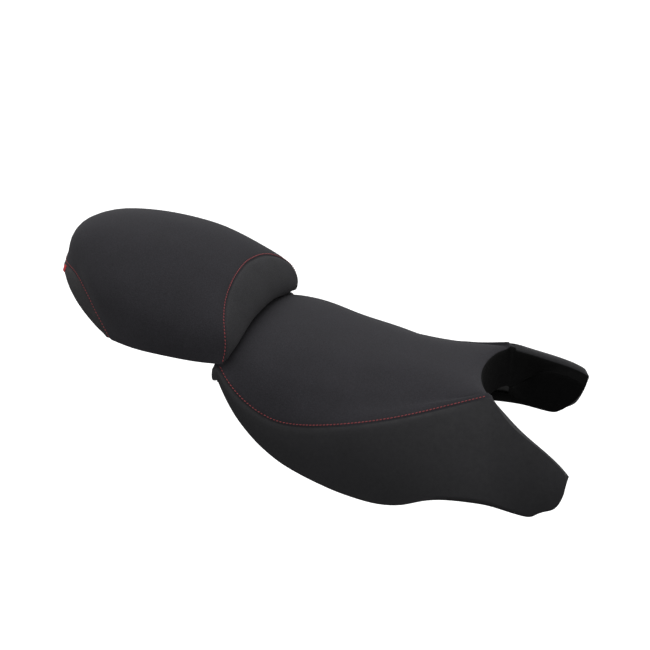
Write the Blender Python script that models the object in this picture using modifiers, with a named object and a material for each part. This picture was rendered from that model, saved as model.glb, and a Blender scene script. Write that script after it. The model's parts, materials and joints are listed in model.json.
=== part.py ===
"""Motorcycle seat set: a rider seat with two horns beside the tank, and a passenger seat.

Metres, +X towards the tank, +Y to the rider's left, +Z up. Both seats are symmetric about y = 0.
The origin is on the underside of the rider seat's rear bracket, between its two bolt holes.

Each seat is a stack of four layers that share one net of rows and columns, so they follow
each other: the cover's outer skin, the foam, the moulded pan and the lining side of the cover.
"""
import math

import bmesh
import bpy
import numpy as np
from mathutils import Matrix, Vector

# ---- driving sizes ---------------------------------------------------------------------------
RIDER_LENGTH = 0.452        # rear edge to horn tips
RIDER_WIDTH = 0.305         # across the widest part of the side panels
PASSENGER_LENGTH = 0.302    # tail to front lip
PASSENGER_WIDTH = 0.273     # across the side walls
HEIGHT = 0.306              # lowest edge of the rider seat to the passenger seat's crown

COVER = 0.0012              # cover fabric
CLEAR = 0.0003              # between pieces that touch
SLACK = 0.0012              # extra room between the cover and the foam
PAN = 0.0030                # wall of the moulded pans
SEAM_GAP = 0.0016           # between two cover panels along a seam
HORN_FOAM = 0.0120          # foam on the outside of a horn
WING_REACH = 0.92           # how far along a horn its stiffening wing goes, of the whole
EDGE_FOAM = 0.0040          # foam that is left at the pan's lower edge
ROLL = 0.0090               # reach of the rolled edge around the tank cut-out
THREAD = 0.0010             # stitching thread
THREAD_FROM_SEAM = 0.0035
RIB = 0.0025                # width of the pan's ribs
RIB_DEPTH = 0.0080          # height of the ribs below the pan
BRACKET = 0.0025            # sheet steel of brackets and hooks
BOLT_HOLE = 0.0085          # holes for the frame bolts in the rear bracket
SCREW = 0.0050              # shank of the screws that hold steel parts to the pans
STRIKER_ROD = 0.0080        # rod of the passenger seat's striker
STRIKER_DROP = 0.0300       # how far the striker hangs below its plate
BUMPER = 0.0220             # rubber bumper pad
BUMPER_HEIGHT = 0.0080
BUMPER_STEM = 0.0090

# The stations below are drawn at these sizes, then stretched to the driving sizes.
DRAWN_RIDER = (0.452, 0.305)
DRAWN_PASSENGER = (0.302, 0.273)
DRAWN_HEIGHT = 0.306
JOIN = -0.052               # where the two seats meet, along x
DATUM = Vector((0.080, 0.0, -0.040))    # from the drawing's zero to the origin

SHARPEST = 0.6              # least cosine between a point's normal and its faces' for offsets
FOLD_SHARPEST = 0.35        # the same where the passenger cover folds under
FOLD_SLACK = 0.0014         # room between the passenger pan and the fold of its cover
FOLD_RELIEF = 0.0025        # the foam's extra distance from the passenger cover's folds
FOLD_SHARE = 0.3            # and how far its edge stands back over the pan's first cells
SKIN_TO_FOAM = COVER + CLEAR + SLACK
PAN_TO_LINING = PAN + CLEAR + COVER
EDGE_PULL = COVER + 2 * CLEAR
LIFT = 0.0020               # the foam's edge above the pan's face, along the walls
FRONT_PULL = 3 * COVER      # the pan's front edge stands further back, where the rim turns

COLLECTION = "motorcycle_seat"


# ---- small tools -----------------------------------------------------------------------------
def spline(points, places):
    """Natural cubic spline through evenly numbered points, read at places counted in points."""
    points = np.asarray(points, float)
    count = len(points)
    system = np.eye(count)
    right = np.zeros_like(points)
    for i in range(1, count - 1):
        system[i, i - 1:i + 2] = (1.0, 4.0, 1.0)
        right[i] = 6.0 * (points[i + 1] - 2.0 * points[i] + points[i - 1])
    bend = np.linalg.solve(system, right)
    places = np.asarray(places, float)
    low = np.clip(np.floor(places).astype(int), 0, count - 2)
    u = (places - low)[:, None]
    w = 1.0 - u
    return (w * points[low] + u * points[low + 1]
            + ((w ** 3 - w) * bend[low] + (u ** 3 - u) * bend[low + 1]) / 6.0)


def sheet(rails, across, along):
    """A grid through rails: along each rail first, then across them."""
    lines = np.stack([spline(rail, along) for rail in rails], axis=0)
    flat = lines.reshape(len(rails), -1)
    return spline(flat, across).reshape(len(across), len(along), 3)


def steps(last, count):
    return np.linspace(0.0, last, count + 1)


class Net:
    """Points that are shared where patches meet, and the faces between them."""

    def __init__(self):
        self.points = []
        self.lookup = {}
        self.faces = []

    def point(self, place):
        key = tuple(int(round(c * 1e6)) for c in place)
        if key not in self.lookup:
            self.lookup[key] = len(self.points)
            self.points.append(tuple(float(c) for c in place))
        return self.lookup[key]

    def patch(self, grid, flip=False):
        """Triangles over a grid. Layers split their cells the same way, also when flipped."""
        rows = [[self.point(place) for place in row] for row in grid]
        for a, b in zip(rows, rows[1:]):
            for i in range(len(a) - 1):
                self.face((a[i], a[i + 1], b[i + 1]), flip)
                self.face((a[i], b[i + 1], b[i]), flip)

    def face(self, corners, flip=False):
        loop = []
        for corner in corners:
            if corner not in loop:
                loop.append(corner)
        if len(loop) > 2:
            self.faces.append(loop[::-1] if flip else loop)

    def close(self, *places):
        """One face over a small gap that a ring of points leaves."""
        self.face([self.point(place) for place in places])

    def normals(self, sharpest):
        """Outward normals, longer at a bend, so that an offset stays even beside it."""
        total = np.zeros((len(self.points), 3))
        places = np.array(self.points)
        turned = []
        for loop in self.faces:
            ring = places[loop]
            turned.append(np.cross(ring, np.roll(ring, -1, axis=0)).sum(axis=0))
            total[loop] += turned[-1]
        on_plane = np.abs(places[:, 1]) < 1e-6
        total[on_plane, 1] = 0.0
        normal = unit(total)
        least = np.ones(len(self.points))
        for loop, across in zip(self.faces, turned):
            least[loop] = np.minimum(least[loop], normal[loop] @ unit(across))
        return normal / np.maximum(least, sharpest)[:, None]

    def mesh(self, name):
        data = bpy.data.meshes.new(name)
        data.from_pydata(self.points, [], self.faces)
        data.update()
        return data


def unit(vectors):
    return vectors / np.maximum(np.linalg.norm(vectors, axis=-1, keepdims=True), 1e-12)


def shared_normals(*grids, sharpest=SHARPEST):
    """Normals at the points of grids that meet, one grid of normals for each."""
    net = Net()
    for grid in grids:
        net.patch(grid)
    normals = net.normals(sharpest)
    return [np.array([[normals[net.point(place)] for place in row] for row in grid])
            for grid in grids]


def material(name, colour, roughness, metallic=0.0):
    made = bpy.data.materials.get(name)
    if made:
        return made
    made = bpy.data.materials.new(name)
    made.use_nodes = True
    shader = made.node_tree.nodes["Principled BSDF"]
    shader.inputs["Base Color"].default_value = (*colour, 1.0)
    shader.inputs["Roughness"].default_value = roughness
    shader.inputs["Metallic"].default_value = metallic
    return made


def suede():
    return material("charcoal_suede", (0.035, 0.035, 0.038), 0.90)


def vinyl():
    return material("black_vinyl", (0.015, 0.015, 0.017), 0.60)


def foam_grey():
    return material("moulded_foam", (0.16, 0.16, 0.17), 0.95)


def pan_plastic():
    return material("pan_plastic", (0.018, 0.018, 0.019), 0.55)


def red_thread():
    return material("red_thread", (0.35, 0.02, 0.03), 0.70)


def red_label():
    return material("red_label", (0.50, 0.02, 0.02), 0.80)


def zinc_steel():
    return material("zinc_steel", (0.45, 0.45, 0.46), 0.35, 1.0)


def rubber():
    return material("bumper_rubber", (0.020, 0.020, 0.020), 0.85)


def add_object(name, data, look, parent=None):
    made = bpy.data.objects.new(name, data)
    bpy.data.collections[COLLECTION].objects.link(made)
    data.materials.clear()
    data.materials.append(look)
    attach(made, parent)
    return made


def attach(made, parent):
    """Ties an object to its parent without moving it."""
    if parent:
        made.parent = parent
        made.matrix_parent_inverse = Matrix.Translation(-parent.location)


def mirror(target):
    change = target.modifiers.new("mirror", "MIRROR")
    change.use_axis = (False, True, False)
    change.merge_threshold = 0.0001


def solidify(target, thickness):
    """Thickness goes behind the faces."""
    change = target.modifiers.new("wall", "SOLIDIFY")
    change.thickness = thickness
    change.offset = -1.0
    change.use_even_offset = False


def cut_with(target, tool, operation):
    change = target.modifiers.new(operation.lower(), "BOOLEAN")
    change.operation = operation
    change.object = tool
    change.solver = "EXACT"


def smooth(data, degrees=40):
    data.shade_smooth()
    data.set_sharp_from_angle(angle=math.radians(degrees))


def cutter(name, data, parent=None):
    made = bpy.data.objects.new(name, data)
    bpy.data.collections["cutters"].objects.link(made)
    made.hide_render = True
    made.display_type = "WIRE"
    attach(made, parent)
    return made


def cylinders(name, spots):
    """One mesh of upright cylinders, each (x, y, low, high, radius)."""
    shape = bmesh.new()
    for x, y, low, high, radius in spots:
        middle = Matrix.Translation((x, y, (low + high) / 2))
        bmesh.ops.create_cone(shape, cap_ends=True, segments=12, radius1=radius, radius2=radius,
                              depth=high - low, matrix=middle)
    data = bpy.data.meshes.new(name)
    shape.to_mesh(data)
    shape.free()
    return data


def turned(name, profile, look, spot, parent=None, closed=False):
    """A round piece from (radius, height) pairs, top to bottom, about a vertical axis at spot.

    A closed profile makes a ring.
    """
    data = bpy.data.meshes.new(name)
    places = [(radius, 0.0, height) for radius, height in profile]
    edges = [(i, i + 1) for i in range(len(places) - 1)]
    if closed:
        edges.append((len(places) - 1, 0))
    data.from_pydata(places, edges, [])
    made = add_object(name, data, look, parent)
    made.location = spot
    change = made.modifiers.new("turn", "SCREW")
    change.steps = 12
    change.render_steps = 12
    change.use_merge_vertices = True
    change.merge_threshold = 0.0001
    change.use_smooth_shade = False
    return made


def bent_strip(name, profile, width, thickness, look, holes=(), parent=None, middle=0.0):
    """Sheet steel: a line in x and z, spread across y, given its thickness, then drilled."""
    data = bpy.data.meshes.new(name)
    places = []
    for side in (-width / 2, width / 2):
        places += [(x, middle + side, z) for x, z in profile]
    count = len(profile)
    faces = [(i, i + 1, count + i + 1, count + i) for i in range(count - 1)]
    data.from_pydata(places, [], faces)
    made = add_object(name, data, look, parent)
    change = made.modifiers.new("wall", "SOLIDIFY")
    change.thickness = thickness
    change.offset = 0.0
    change.use_even_offset = True
    if holes:
        cut_with(made, cutter(name + "_holes", cylinders(name + "_holes", holes), parent),
                 "DIFFERENCE")
    return made


def rod(name, places, diameter, sides, look, parent=None):
    """A round rod along a line, closed at both ends."""
    places = np.asarray(places, float)
    run = unit(np.gradient(places, axis=0))
    aside = unit(np.cross(run[0], (0.0, 0.0, 1.0) if abs(run[0, 2]) < 0.7 else (0.0, 1.0, 0.0)))
    points = []
    for place, ahead in zip(places, run):
        aside = unit(aside - ahead * float(aside @ ahead))
        across = np.cross(ahead, aside)
        for k in range(sides):
            turn = math.tau * k / sides
            points.append(place + (aside * math.cos(turn) + across * math.sin(turn)) * diameter / 2)
    faces = [tuple(range(sides))[::-1],
             tuple(range(len(points) - sides, len(points)))]
    for i in range(len(places) - 1):
        for k in range(sides):
            low = i * sides
            faces.append((low + k, low + (k + 1) % sides, low + sides + (k + 1) % sides, low + sides + k))
    data = bpy.data.meshes.new(name)
    data.from_pydata([tuple(p) for p in points], [], faces)
    smooth(data)
    return add_object(name, data, look, parent)


def box(shape, low, high):
    """One box between two corners, added to a bmesh."""
    middle = (Vector(low) + Vector(high)) / 2
    size = Vector(high) - Vector(low)
    place = Matrix.Translation(middle) @ Matrix.Diagonal((*size, 1.0))
    bmesh.ops.create_cube(shape, size=1.0, matrix=place)


def relieve(target, name, spot, low, high):
    """Cut a box away on both sides of the seat, its corners measured from a spot."""
    shape = bmesh.new()
    for side in (1, -1):
        corners = [np.array(spot) + np.array(corner) for corner in (low, high)]
        ys = sorted(side * corner[1] for corner in corners)
        box(shape, (corners[0][0], ys[0], corners[0][2]), (corners[1][0], ys[1], corners[1][2]))
    data = bpy.data.meshes.new(name)
    shape.to_mesh(data)
    shape.free()
    cut_with(target, cutter(name, data, target.parent), "DIFFERENCE")


# ---- one seat as layers ----------------------------------------------------------------------
# A grid's rows run from the middle of the seat to its lower edge and its columns from rear to
# front, which turns its faces outward. A chain of rows or columns that goes on round an edge and
# along the lining keeps that order, so the faces still point out.
def pull(grid, along_rows, at, inner, distance):
    """Move one edge row or column of a grid, in its surface, towards its neighbour."""
    if along_rows:
        grid[at] += unit(grid[inner] - grid[at]) * distance
    else:
        grid[:, at] += unit(grid[:, inner] - grid[:, at]) * distance


def stretch(points, drawn, sizes):
    """Drawing to part: x from the join, y from the middle, z from the drawing's zero."""
    points = np.array(points, float)
    points[..., 0] = JOIN + (points[..., 0] - JOIN) * sizes[0] / drawn[0]
    points[..., 1] *= sizes[1] / drawn[1]
    points[..., 2] *= HEIGHT / DRAWN_HEIGHT
    return points + np.array(DATUM)


def rider_drawing(points):
    return stretch(points, DRAWN_RIDER, (RIDER_LENGTH, RIDER_WIDTH))


def passenger_drawing(points):
    return stretch(points, DRAWN_PASSENGER, (PASSENGER_LENGTH, PASSENGER_WIDTH))


def open_edges(net):
    """Edges with one face, as (start, end, face), leaving out those on the plane y = 0."""
    used = {}
    for loop in net.faces:
        for a, b in zip(loop, loop[1:] + loop[:1]):
            used.setdefault(frozenset((a, b)), []).append((a, b, loop))
    found = []
    for entries in used.values():
        a, b, loop = entries[0]
        on_plane = abs(net.points[a][1]) < 1e-6 and abs(net.points[b][1]) < 1e-6
        if len(entries) == 1 and not on_plane:
            found.append((a, b, loop))
    return found


def trim(net, distance):
    """Draw every open edge of a panel back in its own surface."""
    shift = {}
    places = np.array(net.points)
    for a, b, loop in open_edges(net):
        ring = places[loop]
        normal = unit(np.cross(ring, np.roll(ring, -1, axis=0)).sum(axis=0))
        inward = unit(np.cross(normal, places[b] - places[a]))
        for corner in (a, b):
            shift.setdefault(corner, []).append(inward)
    for corner, moves in shift.items():
        total = sum(moves)
        move = total / max(float(total @ total), 0.5) * len(moves) * distance
        if abs(places[corner][1]) < 1e-6:
            move[1] = 0.0
        net.points[corner] = tuple(places[corner] + move)


def panel_object(name, net, look, thickness, parent=None, side=0):
    """A panel with its wall: mirrored over y = 0, or on one side only (1 left, -1 right)."""
    if side < 0:
        net.points = [(x, -y, z) for x, y, z in net.points]
        net.faces = [loop[::-1] for loop in net.faces]
    made = add_object(name, net.mesh(name), look, parent)
    if side == 0:
        mirror(made)
    solidify(made, thickness)
    smooth(made.data)
    return made


def closed_object(name, net, look, parent=None):
    made = add_object(name, net.mesh(name), look, parent)
    mirror(made)
    smooth(made.data)
    return made


# Rider seat rails, rear to front. Seven stations lie behind the tank cut-out, the eighth is on
# its rim, and the last five follow the rim along a horn to its tip.
RIDER_RAILS = {
    "centre": [(-0.052, 0, 0.0950), (-0.025, 0, 0.0985), (0.020, 0, 0.0990), (0.070, 0, 0.0875),
               (0.125, 0, 0.0775), (0.185, 0, 0.0700), (0.235, 0, 0.0665), (0.261, 0, 0.0640)],
    "inner": [(-0.052, 0.050, 0.0925), (-0.025, 0.050, 0.0960), (0.020, 0.050, 0.0965),
              (0.070, 0.050, 0.0850), (0.125, 0.050, 0.0750), (0.185, 0.048, 0.0675),
              (0.236, 0.045, 0.0650), (0.2675, 0.042, 0.0645)],
    "shoulder": [(-0.051, 0.095, 0.0845), (-0.025, 0.100, 0.0870), (0.020, 0.103, 0.0830),
                 (0.070, 0.103, 0.0710), (0.125, 0.100, 0.0615), (0.185, 0.085, 0.0555),
                 (0.238, 0.075, 0.0580), (0.279, 0.067, 0.0640)],
    "above_seam": [(-0.0505, 0.118, 0.0800), (-0.025, 0.128, 0.0700), (0.020, 0.132, 0.0560),
                   (0.070, 0.132, 0.0450), (0.125, 0.127, 0.0430), (0.185, 0.108, 0.0450),
                   (0.238, 0.089, 0.0525), (0.286, 0.077, 0.0640)],
    "seam": [(-0.0500, 0.133, 0.0765), (-0.025, 0.143, 0.0480), (0.020, 0.1465, 0.0190),
             (0.070, 0.1475, 0.0160), (0.125, 0.1445, 0.0260), (0.185, 0.125, 0.0365),
             (0.239, 0.100, 0.0480), (0.291, 0.084, 0.0640)],
    "side": [(-0.0490, 0.1380, 0.0680), (-0.025, 0.1470, 0.0320), (0.020, 0.1500, -0.0060),
             (0.070, 0.1520, -0.0200), (0.127, 0.1525, -0.0220), (0.187, 0.1460, -0.0180),
             (0.238, 0.1330, -0.0060), (0.291, 0.1230, 0.0060)],
    "low": [(-0.0480, 0.1395, 0.0570), (-0.023, 0.1450, 0.0140), (0.020, 0.1465, -0.0310),
            (0.072, 0.1465, -0.0580), (0.130, 0.1465, -0.0740), (0.190, 0.1460, -0.0760),
            (0.236, 0.1460, -0.0580), (0.289, 0.1450, -0.0500)],
}
HORN_RAILS = {
    "rim": [(0.310, 0.100, 0.0545), (0.338, 0.118, 0.0410), (0.368, 0.131, 0.0280),
            (0.390, 0.140, 0.0150), (0.400, 0.1450, -0.0020)],
    "side": [(0.312, 0.128, 0.0030), (0.338, 0.136, -0.0060), (0.362, 0.142, -0.0140),
             (0.382, 0.1465, -0.0200), (0.3890, 0.1475, -0.0290)],
    "low": [(0.316, 0.1450, -0.0510), (0.336, 0.1440, -0.0545), (0.350, 0.1430, -0.0570),
            (0.361, 0.1425, -0.0565), (0.3690, 0.1425, -0.0500)],
}
# Upper face of the rider pan: the plate's height at each station, and its knee on one side.
PLATE_HEIGHTS = (0.054, 0.051, 0.045, 0.036, 0.027, 0.019, 0.013, 0.010)
KNEE = [(-0.0500, 0.112, 0.0530), (-0.025, 0.116, 0.0420), (0.020, 0.120, 0.0320),
        (0.070, 0.121, 0.0220), (0.125, 0.121, 0.0140), (0.185, 0.114, 0.0090),
        (0.240, 0.1000, 0.0060), (0.2965, 0.0775, 0.0060)]
PLATE_INNER = 0.040         # where the plate is still flat, on each side
PLATE_OUTER = 0.085
SKIRT_BULGES_FROM = 0.100   # a skirt this tall or more bulges fully
WING_RISE = (1.9, 1.2, 0.7)  # side row where a wing's top starts: its first columns, then the rest

LAST = 7                    # the station where the seam meets the rim
HORN_STATIONS = 5
BODY = 12                   # columns behind the rim
HORN = 6                    # columns along a horn
TOP_ROWS = 7                # rows from the middle to the seam
SIDE_ROWS = 4               # rows from the seam to the lower edge


def into_cutout(rim):
    """Level directions from the rim into the tank cut-out, square to the rim's line."""
    run = np.gradient(rim, axis=0)
    turn = np.stack([run[:, 1], -run[:, 0], np.zeros(len(run))], axis=1)
    turn = unit(turn)
    turn[0] = (1.0, 0.0, 0.0)
    turn[-3:] = turn[-4]
    for _ in range(8):
        turn[1:-1] = unit(turn[:-2] + turn[1:-1] * 2 + turn[2:])
    return turn


def rider_skin():
    """Half of the outer skin: the top grid and the side grid, and the rim's inward directions."""
    rails = {name: rider_drawing(rail) for name, rail in RIDER_RAILS.items()}
    horn = {name: rider_drawing(rail) for name, rail in HORN_RAILS.items()}
    across = np.concatenate([steps(4, TOP_ROWS), 4 + steps(2, SIDE_ROWS)[1:]])
    body = sheet([rails[name] for name in rails], across, steps(LAST, BODY))
    top = body[:TOP_ROWS + 1]

    along = LAST + steps(HORN_STATIONS, HORN)[1:]
    rim = spline(np.vstack([rails["seam"], horn["rim"]]), along)
    middle = spline(np.vstack([rails["side"], horn["side"]]), along)
    low = spline(np.vstack([rails["low"], horn["low"]]), along)
    inward = into_cutout(np.vstack([top[:, -1], rim]))
    # A row inside the rim makes the side rise over it in a round edge.
    inside = rim + inward[TOP_ROWS + 1:] * ROLL + np.array((0, 0, -ROLL * 0.5))
    columns = np.stack([inside, rim, middle, low], axis=0)
    rows = spline(columns.reshape(4, -1), 1 + steps(2, SIDE_ROWS))
    side = np.concatenate([body[TOP_ROWS:], rows.reshape(SIDE_ROWS + 1, HORN, 3)], axis=1)
    return top, side, inward


def between(grid, row, column):
    """A point of a grid at a place between its rows and columns."""
    i = min(int(row), max(grid.shape[0] - 2, 0))
    j = min(int(column), grid.shape[1] - 2)
    u = row - i
    v = column - j
    lower = grid[min(i + 1, grid.shape[0] - 1)]
    return ((grid[i, j] * (1 - v) + grid[i, j + 1] * v) * (1 - u)
            + (lower[j] * (1 - v) + lower[j + 1] * v) * u)


def spread(line, like):
    """Points along a line, spaced in the same shares of its length as another row's points."""
    length = np.append(0.0, np.cumsum(np.linalg.norm(np.diff(line, axis=0), axis=1)))
    share = np.append(0.0, np.cumsum(np.linalg.norm(np.diff(like, axis=0), axis=1)))
    places = share / share[-1] * length[-1]
    return np.stack([np.interp(places, length, line[:, i]) for i in range(2)], axis=1)


def rider_base(top, side, inward):
    """The pan's upper face: a plate under the top grid, a skirt and two wings under the side."""
    rows = []
    for rail, width in (("centre", 0.0), ("inner", PLATE_INNER), ("shoulder", PLATE_OUTER)):
        rows.append([(x, width, z) for (x, y, z_skin), z in zip(RIDER_RAILS[rail], PLATE_HEIGHTS)])
    rows.append(KNEE)
    plate = sheet([rider_drawing(row) for row in rows], steps(3, TOP_ROWS), steps(LAST, BODY))
    plate[:, 0, 0] -= ROLL
    # The plate's front edge follows the cut-out's wall and ends at the knee.
    wall = top[:, -1, :2] + inward[:TOP_ROWS + 1, :2] * ROLL
    plate[:, -1, :2] = spread(wall, plate[:, -2, :2])

    skin_normals = shared_normals(top, side)[1]
    edge = SKIN_TO_FOAM + EDGE_FOAM + CLEAR
    wing = SKIN_TO_FOAM + HORN_FOAM + CLEAR
    low = side[-1] - skin_normals[-1] * edge
    wing_face = side - skin_normals * wing
    half = SIDE_ROWS // 2
    skirt = np.zeros_like(side)
    for j in range(side.shape[1]):
        if j <= BODY:
            # A tall skirt bulges like the side panel, a low one runs straight to the edge.
            bulge = side[half, j] - skin_normals[half, j] * wing
            straight = (plate[-1, j] + low[j]) / 2
            share = min(max((plate[-1, j, 2] - low[j, 2]) / SKIRT_BULGES_FROM, 0.0), 0.5)
            line = [plate[-1, j], bulge * share + straight * (1 - share), low[j]]
        else:
            start = WING_RISE[min(j - BODY, len(WING_RISE)) - 1]
            place = BODY + (j - BODY) * WING_REACH
            line = [between(wing_face, start, place), between(wing_face, (start + half * 2) / 2, place),
                    between(low[None], 0, place)]
        skirt[:, j] = spline(line, steps(2, SIDE_ROWS))
    skirt[0, :BODY + 1] = plate[-1]
    return plate, skirt


def rolled(edge, out, base, reach):
    """Two points that round an edge towards out, then one on the wall level with base.

    The rounding takes at most half the wall's height.
    """
    height = edge[:, 2:] - base[:, 2:]
    drop = np.clip(height * 0.5, 0.0005, ROLL) * np.array((0.0, 0.0, 1.0))
    first = edge + out * reach * 0.65 - drop * 0.25
    second = edge + out * reach - drop
    third = second.copy()
    third[:, 2] = np.minimum(base[:, 2] + LIFT, second[:, 2] - 0.0005)
    return first, second, third


class RiderLayers:
    """All shared rows and columns of the rider seat's left half."""

    def __init__(self):
        self.top, self.side, self.inward = rider_skin()
        self.plate, self.skirt = rider_base(self.top, self.side, self.inward)
        normals = shared_normals(self.plate, self.skirt)
        self.top_lining = self.plate - normals[0] * PAN_TO_LINING
        self.side_lining = self.skirt - normals[1] * PAN_TO_LINING
        back = np.array((-1.0, 0.0, 0.0))
        reach = self.top[:, :1, 0] - self.plate[:, :1, 0]
        self.rear_top = rolled(self.top[:, 0], back, self.plate[:, 0], reach)
        reach = self.side[:, :1, 0] - self.skirt[:, :1, 0]
        self.rear_side = rolled(self.side[:, 0], back, self.skirt[:, 0], reach)
        for row in self.rear_side:
            row[-1] = self.side[-1, 0]
        inward = self.inward
        self.front_top = rolled(self.top[:, -1], inward[:TOP_ROWS + 1], self.plate[:, -1], ROLL)
        self.front_top[2][:, :2] = self.plate[:, -1, :2]
        rim = self.side[0, BODY:]
        level = self.side_lining[0, BODY:].copy()
        level[0] = self.plate[-1, -1]
        self.horn_roll = rolled(rim, inward[TOP_ROWS:], level, ROLL)
        self.horn_roll[2][1:] = (self.horn_roll[1][1:] + self.side_lining[0, BODY + 1:]) / 2

    def nose(self):
        """The column that rounds the front of a horn, between its skin and its lining."""
        outer = self.side[:, -1]
        inner = self.side_lining[:, -1]
        middle = (outer + inner) / 2
        run = unit(self.side[:, -1] - self.side[:, -2])
        return middle + run * ROLL * 0.35


def rider_cover_top(layers):
    net = Net()
    rear = [layers.top_lining[:, 0], *layers.rear_top[::-1]]
    front = [*layers.front_top, layers.top_lining[:, -1]]
    net.patch(np.stack([*rear, *layers.top.transpose(1, 0, 2), *front], axis=1))
    net.patch(layers.top_lining[:, :2], flip=True)
    net.patch(layers.top_lining[:, -2:], flip=True)
    trim(net, SEAM_GAP / 2)
    return panel_object("rider_cover_top", net, suede(), COVER)


def rider_cover_side(layers, name, side):
    net = Net()
    net.patch(layers.side)
    net.patch(np.stack([layers.side[-1], layers.side_lining[-1]], axis=0))
    net.patch(layers.side_lining[-2:], flip=True)
    net.patch(layers.side_lining[:-1, :2], flip=True)
    net.patch(layers.side_lining[:-1, BODY:], flip=True)
    rear = [layers.side_lining[:, 0], *layers.rear_side[::-1], layers.side[:, 0]]
    net.patch(np.stack(rear, axis=1))
    net.close(*[column[-1] for column in rear])
    roll = [layers.side_lining[0, BODY:], *layers.horn_roll[::-1], layers.side[0, BODY:]]
    net.patch(np.stack(roll, axis=0))
    nose = layers.nose()
    net.patch(np.stack([layers.side[:, -1], nose, layers.side_lining[:, -1]], axis=1))
    net.close(*[row[-1] for row in roll[::-1]], nose[0])
    net.close(layers.side[-1, -1], nose[-1], layers.side_lining[-1, -1])
    trim(net, SEAM_GAP / 2)
    return panel_object(name, net, vinyl(), COVER, side=side)


def trimmed_base(layers):
    """The pan's own grids: the layers' plate and skirt, drawn back from the cover's edges."""
    plate = layers.plate.copy()
    skirt = layers.skirt.copy()
    pull(plate, False, 0, 1, EDGE_PULL)
    pull(plate, False, -1, -2, FRONT_PULL)
    pull(skirt, False, 0, 1, EDGE_PULL)
    pull(skirt, False, -1, -2, 2 * EDGE_PULL)
    pull(skirt, True, -1, -2, EDGE_PULL)
    skirt[-1, -1] += (skirt[-2, -1] - skirt[-1, -1]) * 0.3
    skirt[0, :BODY + 1] = plate[-1]
    return plate, skirt


def rider_pan(layers):
    plate, skirt = trimmed_base(layers)
    wing_top = skirt[0, BODY + 1:]
    wing_top += unit(skirt[1, BODY + 1:] - wing_top) * EDGE_PULL
    net = Net()
    net.patch(plate)
    net.patch(skirt)
    return panel_object("rider_pan", net, pan_plastic(), PAN)


def rider_foam(layers):
    """Closed foam between the skin and the pan, each set back by its clearance."""
    rear_top = [*layers.rear_top[::-1], layers.top[:, 0]]
    rear_side = [*layers.rear_side[::-1], layers.side[:, 0]]
    front = [layers.top[:, -1], *layers.front_top]
    roll = [*layers.horn_roll[::-1], layers.side[0, BODY:]]
    outer = [np.stack([*rear_top, *layers.top[:, 1:].transpose(1, 0, 2)], axis=1),
             np.stack([*rear_side, *layers.side[:, 1:].transpose(1, 0, 2)], axis=1),
             np.stack(front, axis=1), np.stack(roll, axis=0)]
    lining = [np.stack([layers.top_lining[:, 0], rear_top[0]], axis=1),
              np.stack([layers.side_lining[:, 0], rear_side[0]], axis=1),
              np.stack([layers.side[-1], layers.side_lining[-1]], axis=0),
              np.stack([front[-1], layers.top_lining[:, -1]], axis=1),
              np.stack([layers.side_lining[0, BODY:], roll[0]], axis=0),
              np.stack([layers.side[:, -1], layers.nose(), layers.side_lining[:, -1]], axis=1)]
    normals = shared_normals(*outer, *lining)
    inside = [grid - normal * SKIN_TO_FOAM for grid, normal in zip(outer, normals)]
    top, side, front, roll = inside

    plate, skirt = trimmed_base(layers)
    plate_normal, skirt_normal = shared_normals(plate, skirt)
    plate = plate + plate_normal * CLEAR
    skirt = skirt + skirt_normal * CLEAR

    net = Net()
    for grid in inside:
        net.patch(grid)
    net.patch(plate, flip=True)
    net.patch(skirt, flip=True)
    net.patch(np.stack([plate[:, 0], top[:, 0]], axis=1))
    net.patch(np.stack([skirt[:, 0], side[:, 0]], axis=1))
    net.patch(np.stack([front[:, -1], plate[:, -1]], axis=1))
    net.patch(np.stack([skirt[0, BODY:], roll[0]], axis=0))
    net.patch(np.stack([side[-1, 3:], skirt[-1]], axis=0))
    net.patch(np.stack([side[:, -1], skirt[:, -1]], axis=1))
    net.close(*side[-1, :4], skirt[-1, 0])
    net.close(*[row[-1] for row in roll[::-1]], skirt[0, -1])
    made = closed_object("rider_foam", net, foam_grey())
    # A relief under the cover's folded corner at the horn's tip.
    tip = layers.side[0, -1]
    relieve(made, "rider_foam_tip_notch", tip, (-0.0046, -0.0150, -0.0080), (0.020, 0.010, 0.010))
    return made



# ---- rider seat fittings ---------------------------------------------------------------------
RIDER_BUMPERS = [(0.105, 0.055), (0.175, 0.060), (0.245, 0.060)]    # x and half spacing
TONGUE_SCREWS = (0.276, 0.016)      # x and half spacing
BRACKET_SCREWS = (0.060, 0.030)
BOSS = 0.0085                       # radius of the pan's bosses
BOSS_DEPTH = 0.0070                 # bosses for bumpers, below the pan's upper face


def height_at(grid, x, y):
    """Height of a layer over one place, by its nearest points."""
    flat = grid.reshape(-1, 3)
    away = np.hypot(flat[:, 0] - x, flat[:, 1] - abs(y))
    near = np.argsort(away)[:4]
    weight = 1.0 / (away[near] + 0.001)
    return float((flat[near, 2] * weight).sum() / weight.sum())


def across_seat(half):
    """A line from the middle outwards, continued to the other side."""
    return np.vstack([half[:0:-1] * np.array((1, -1, 1)), half])


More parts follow.
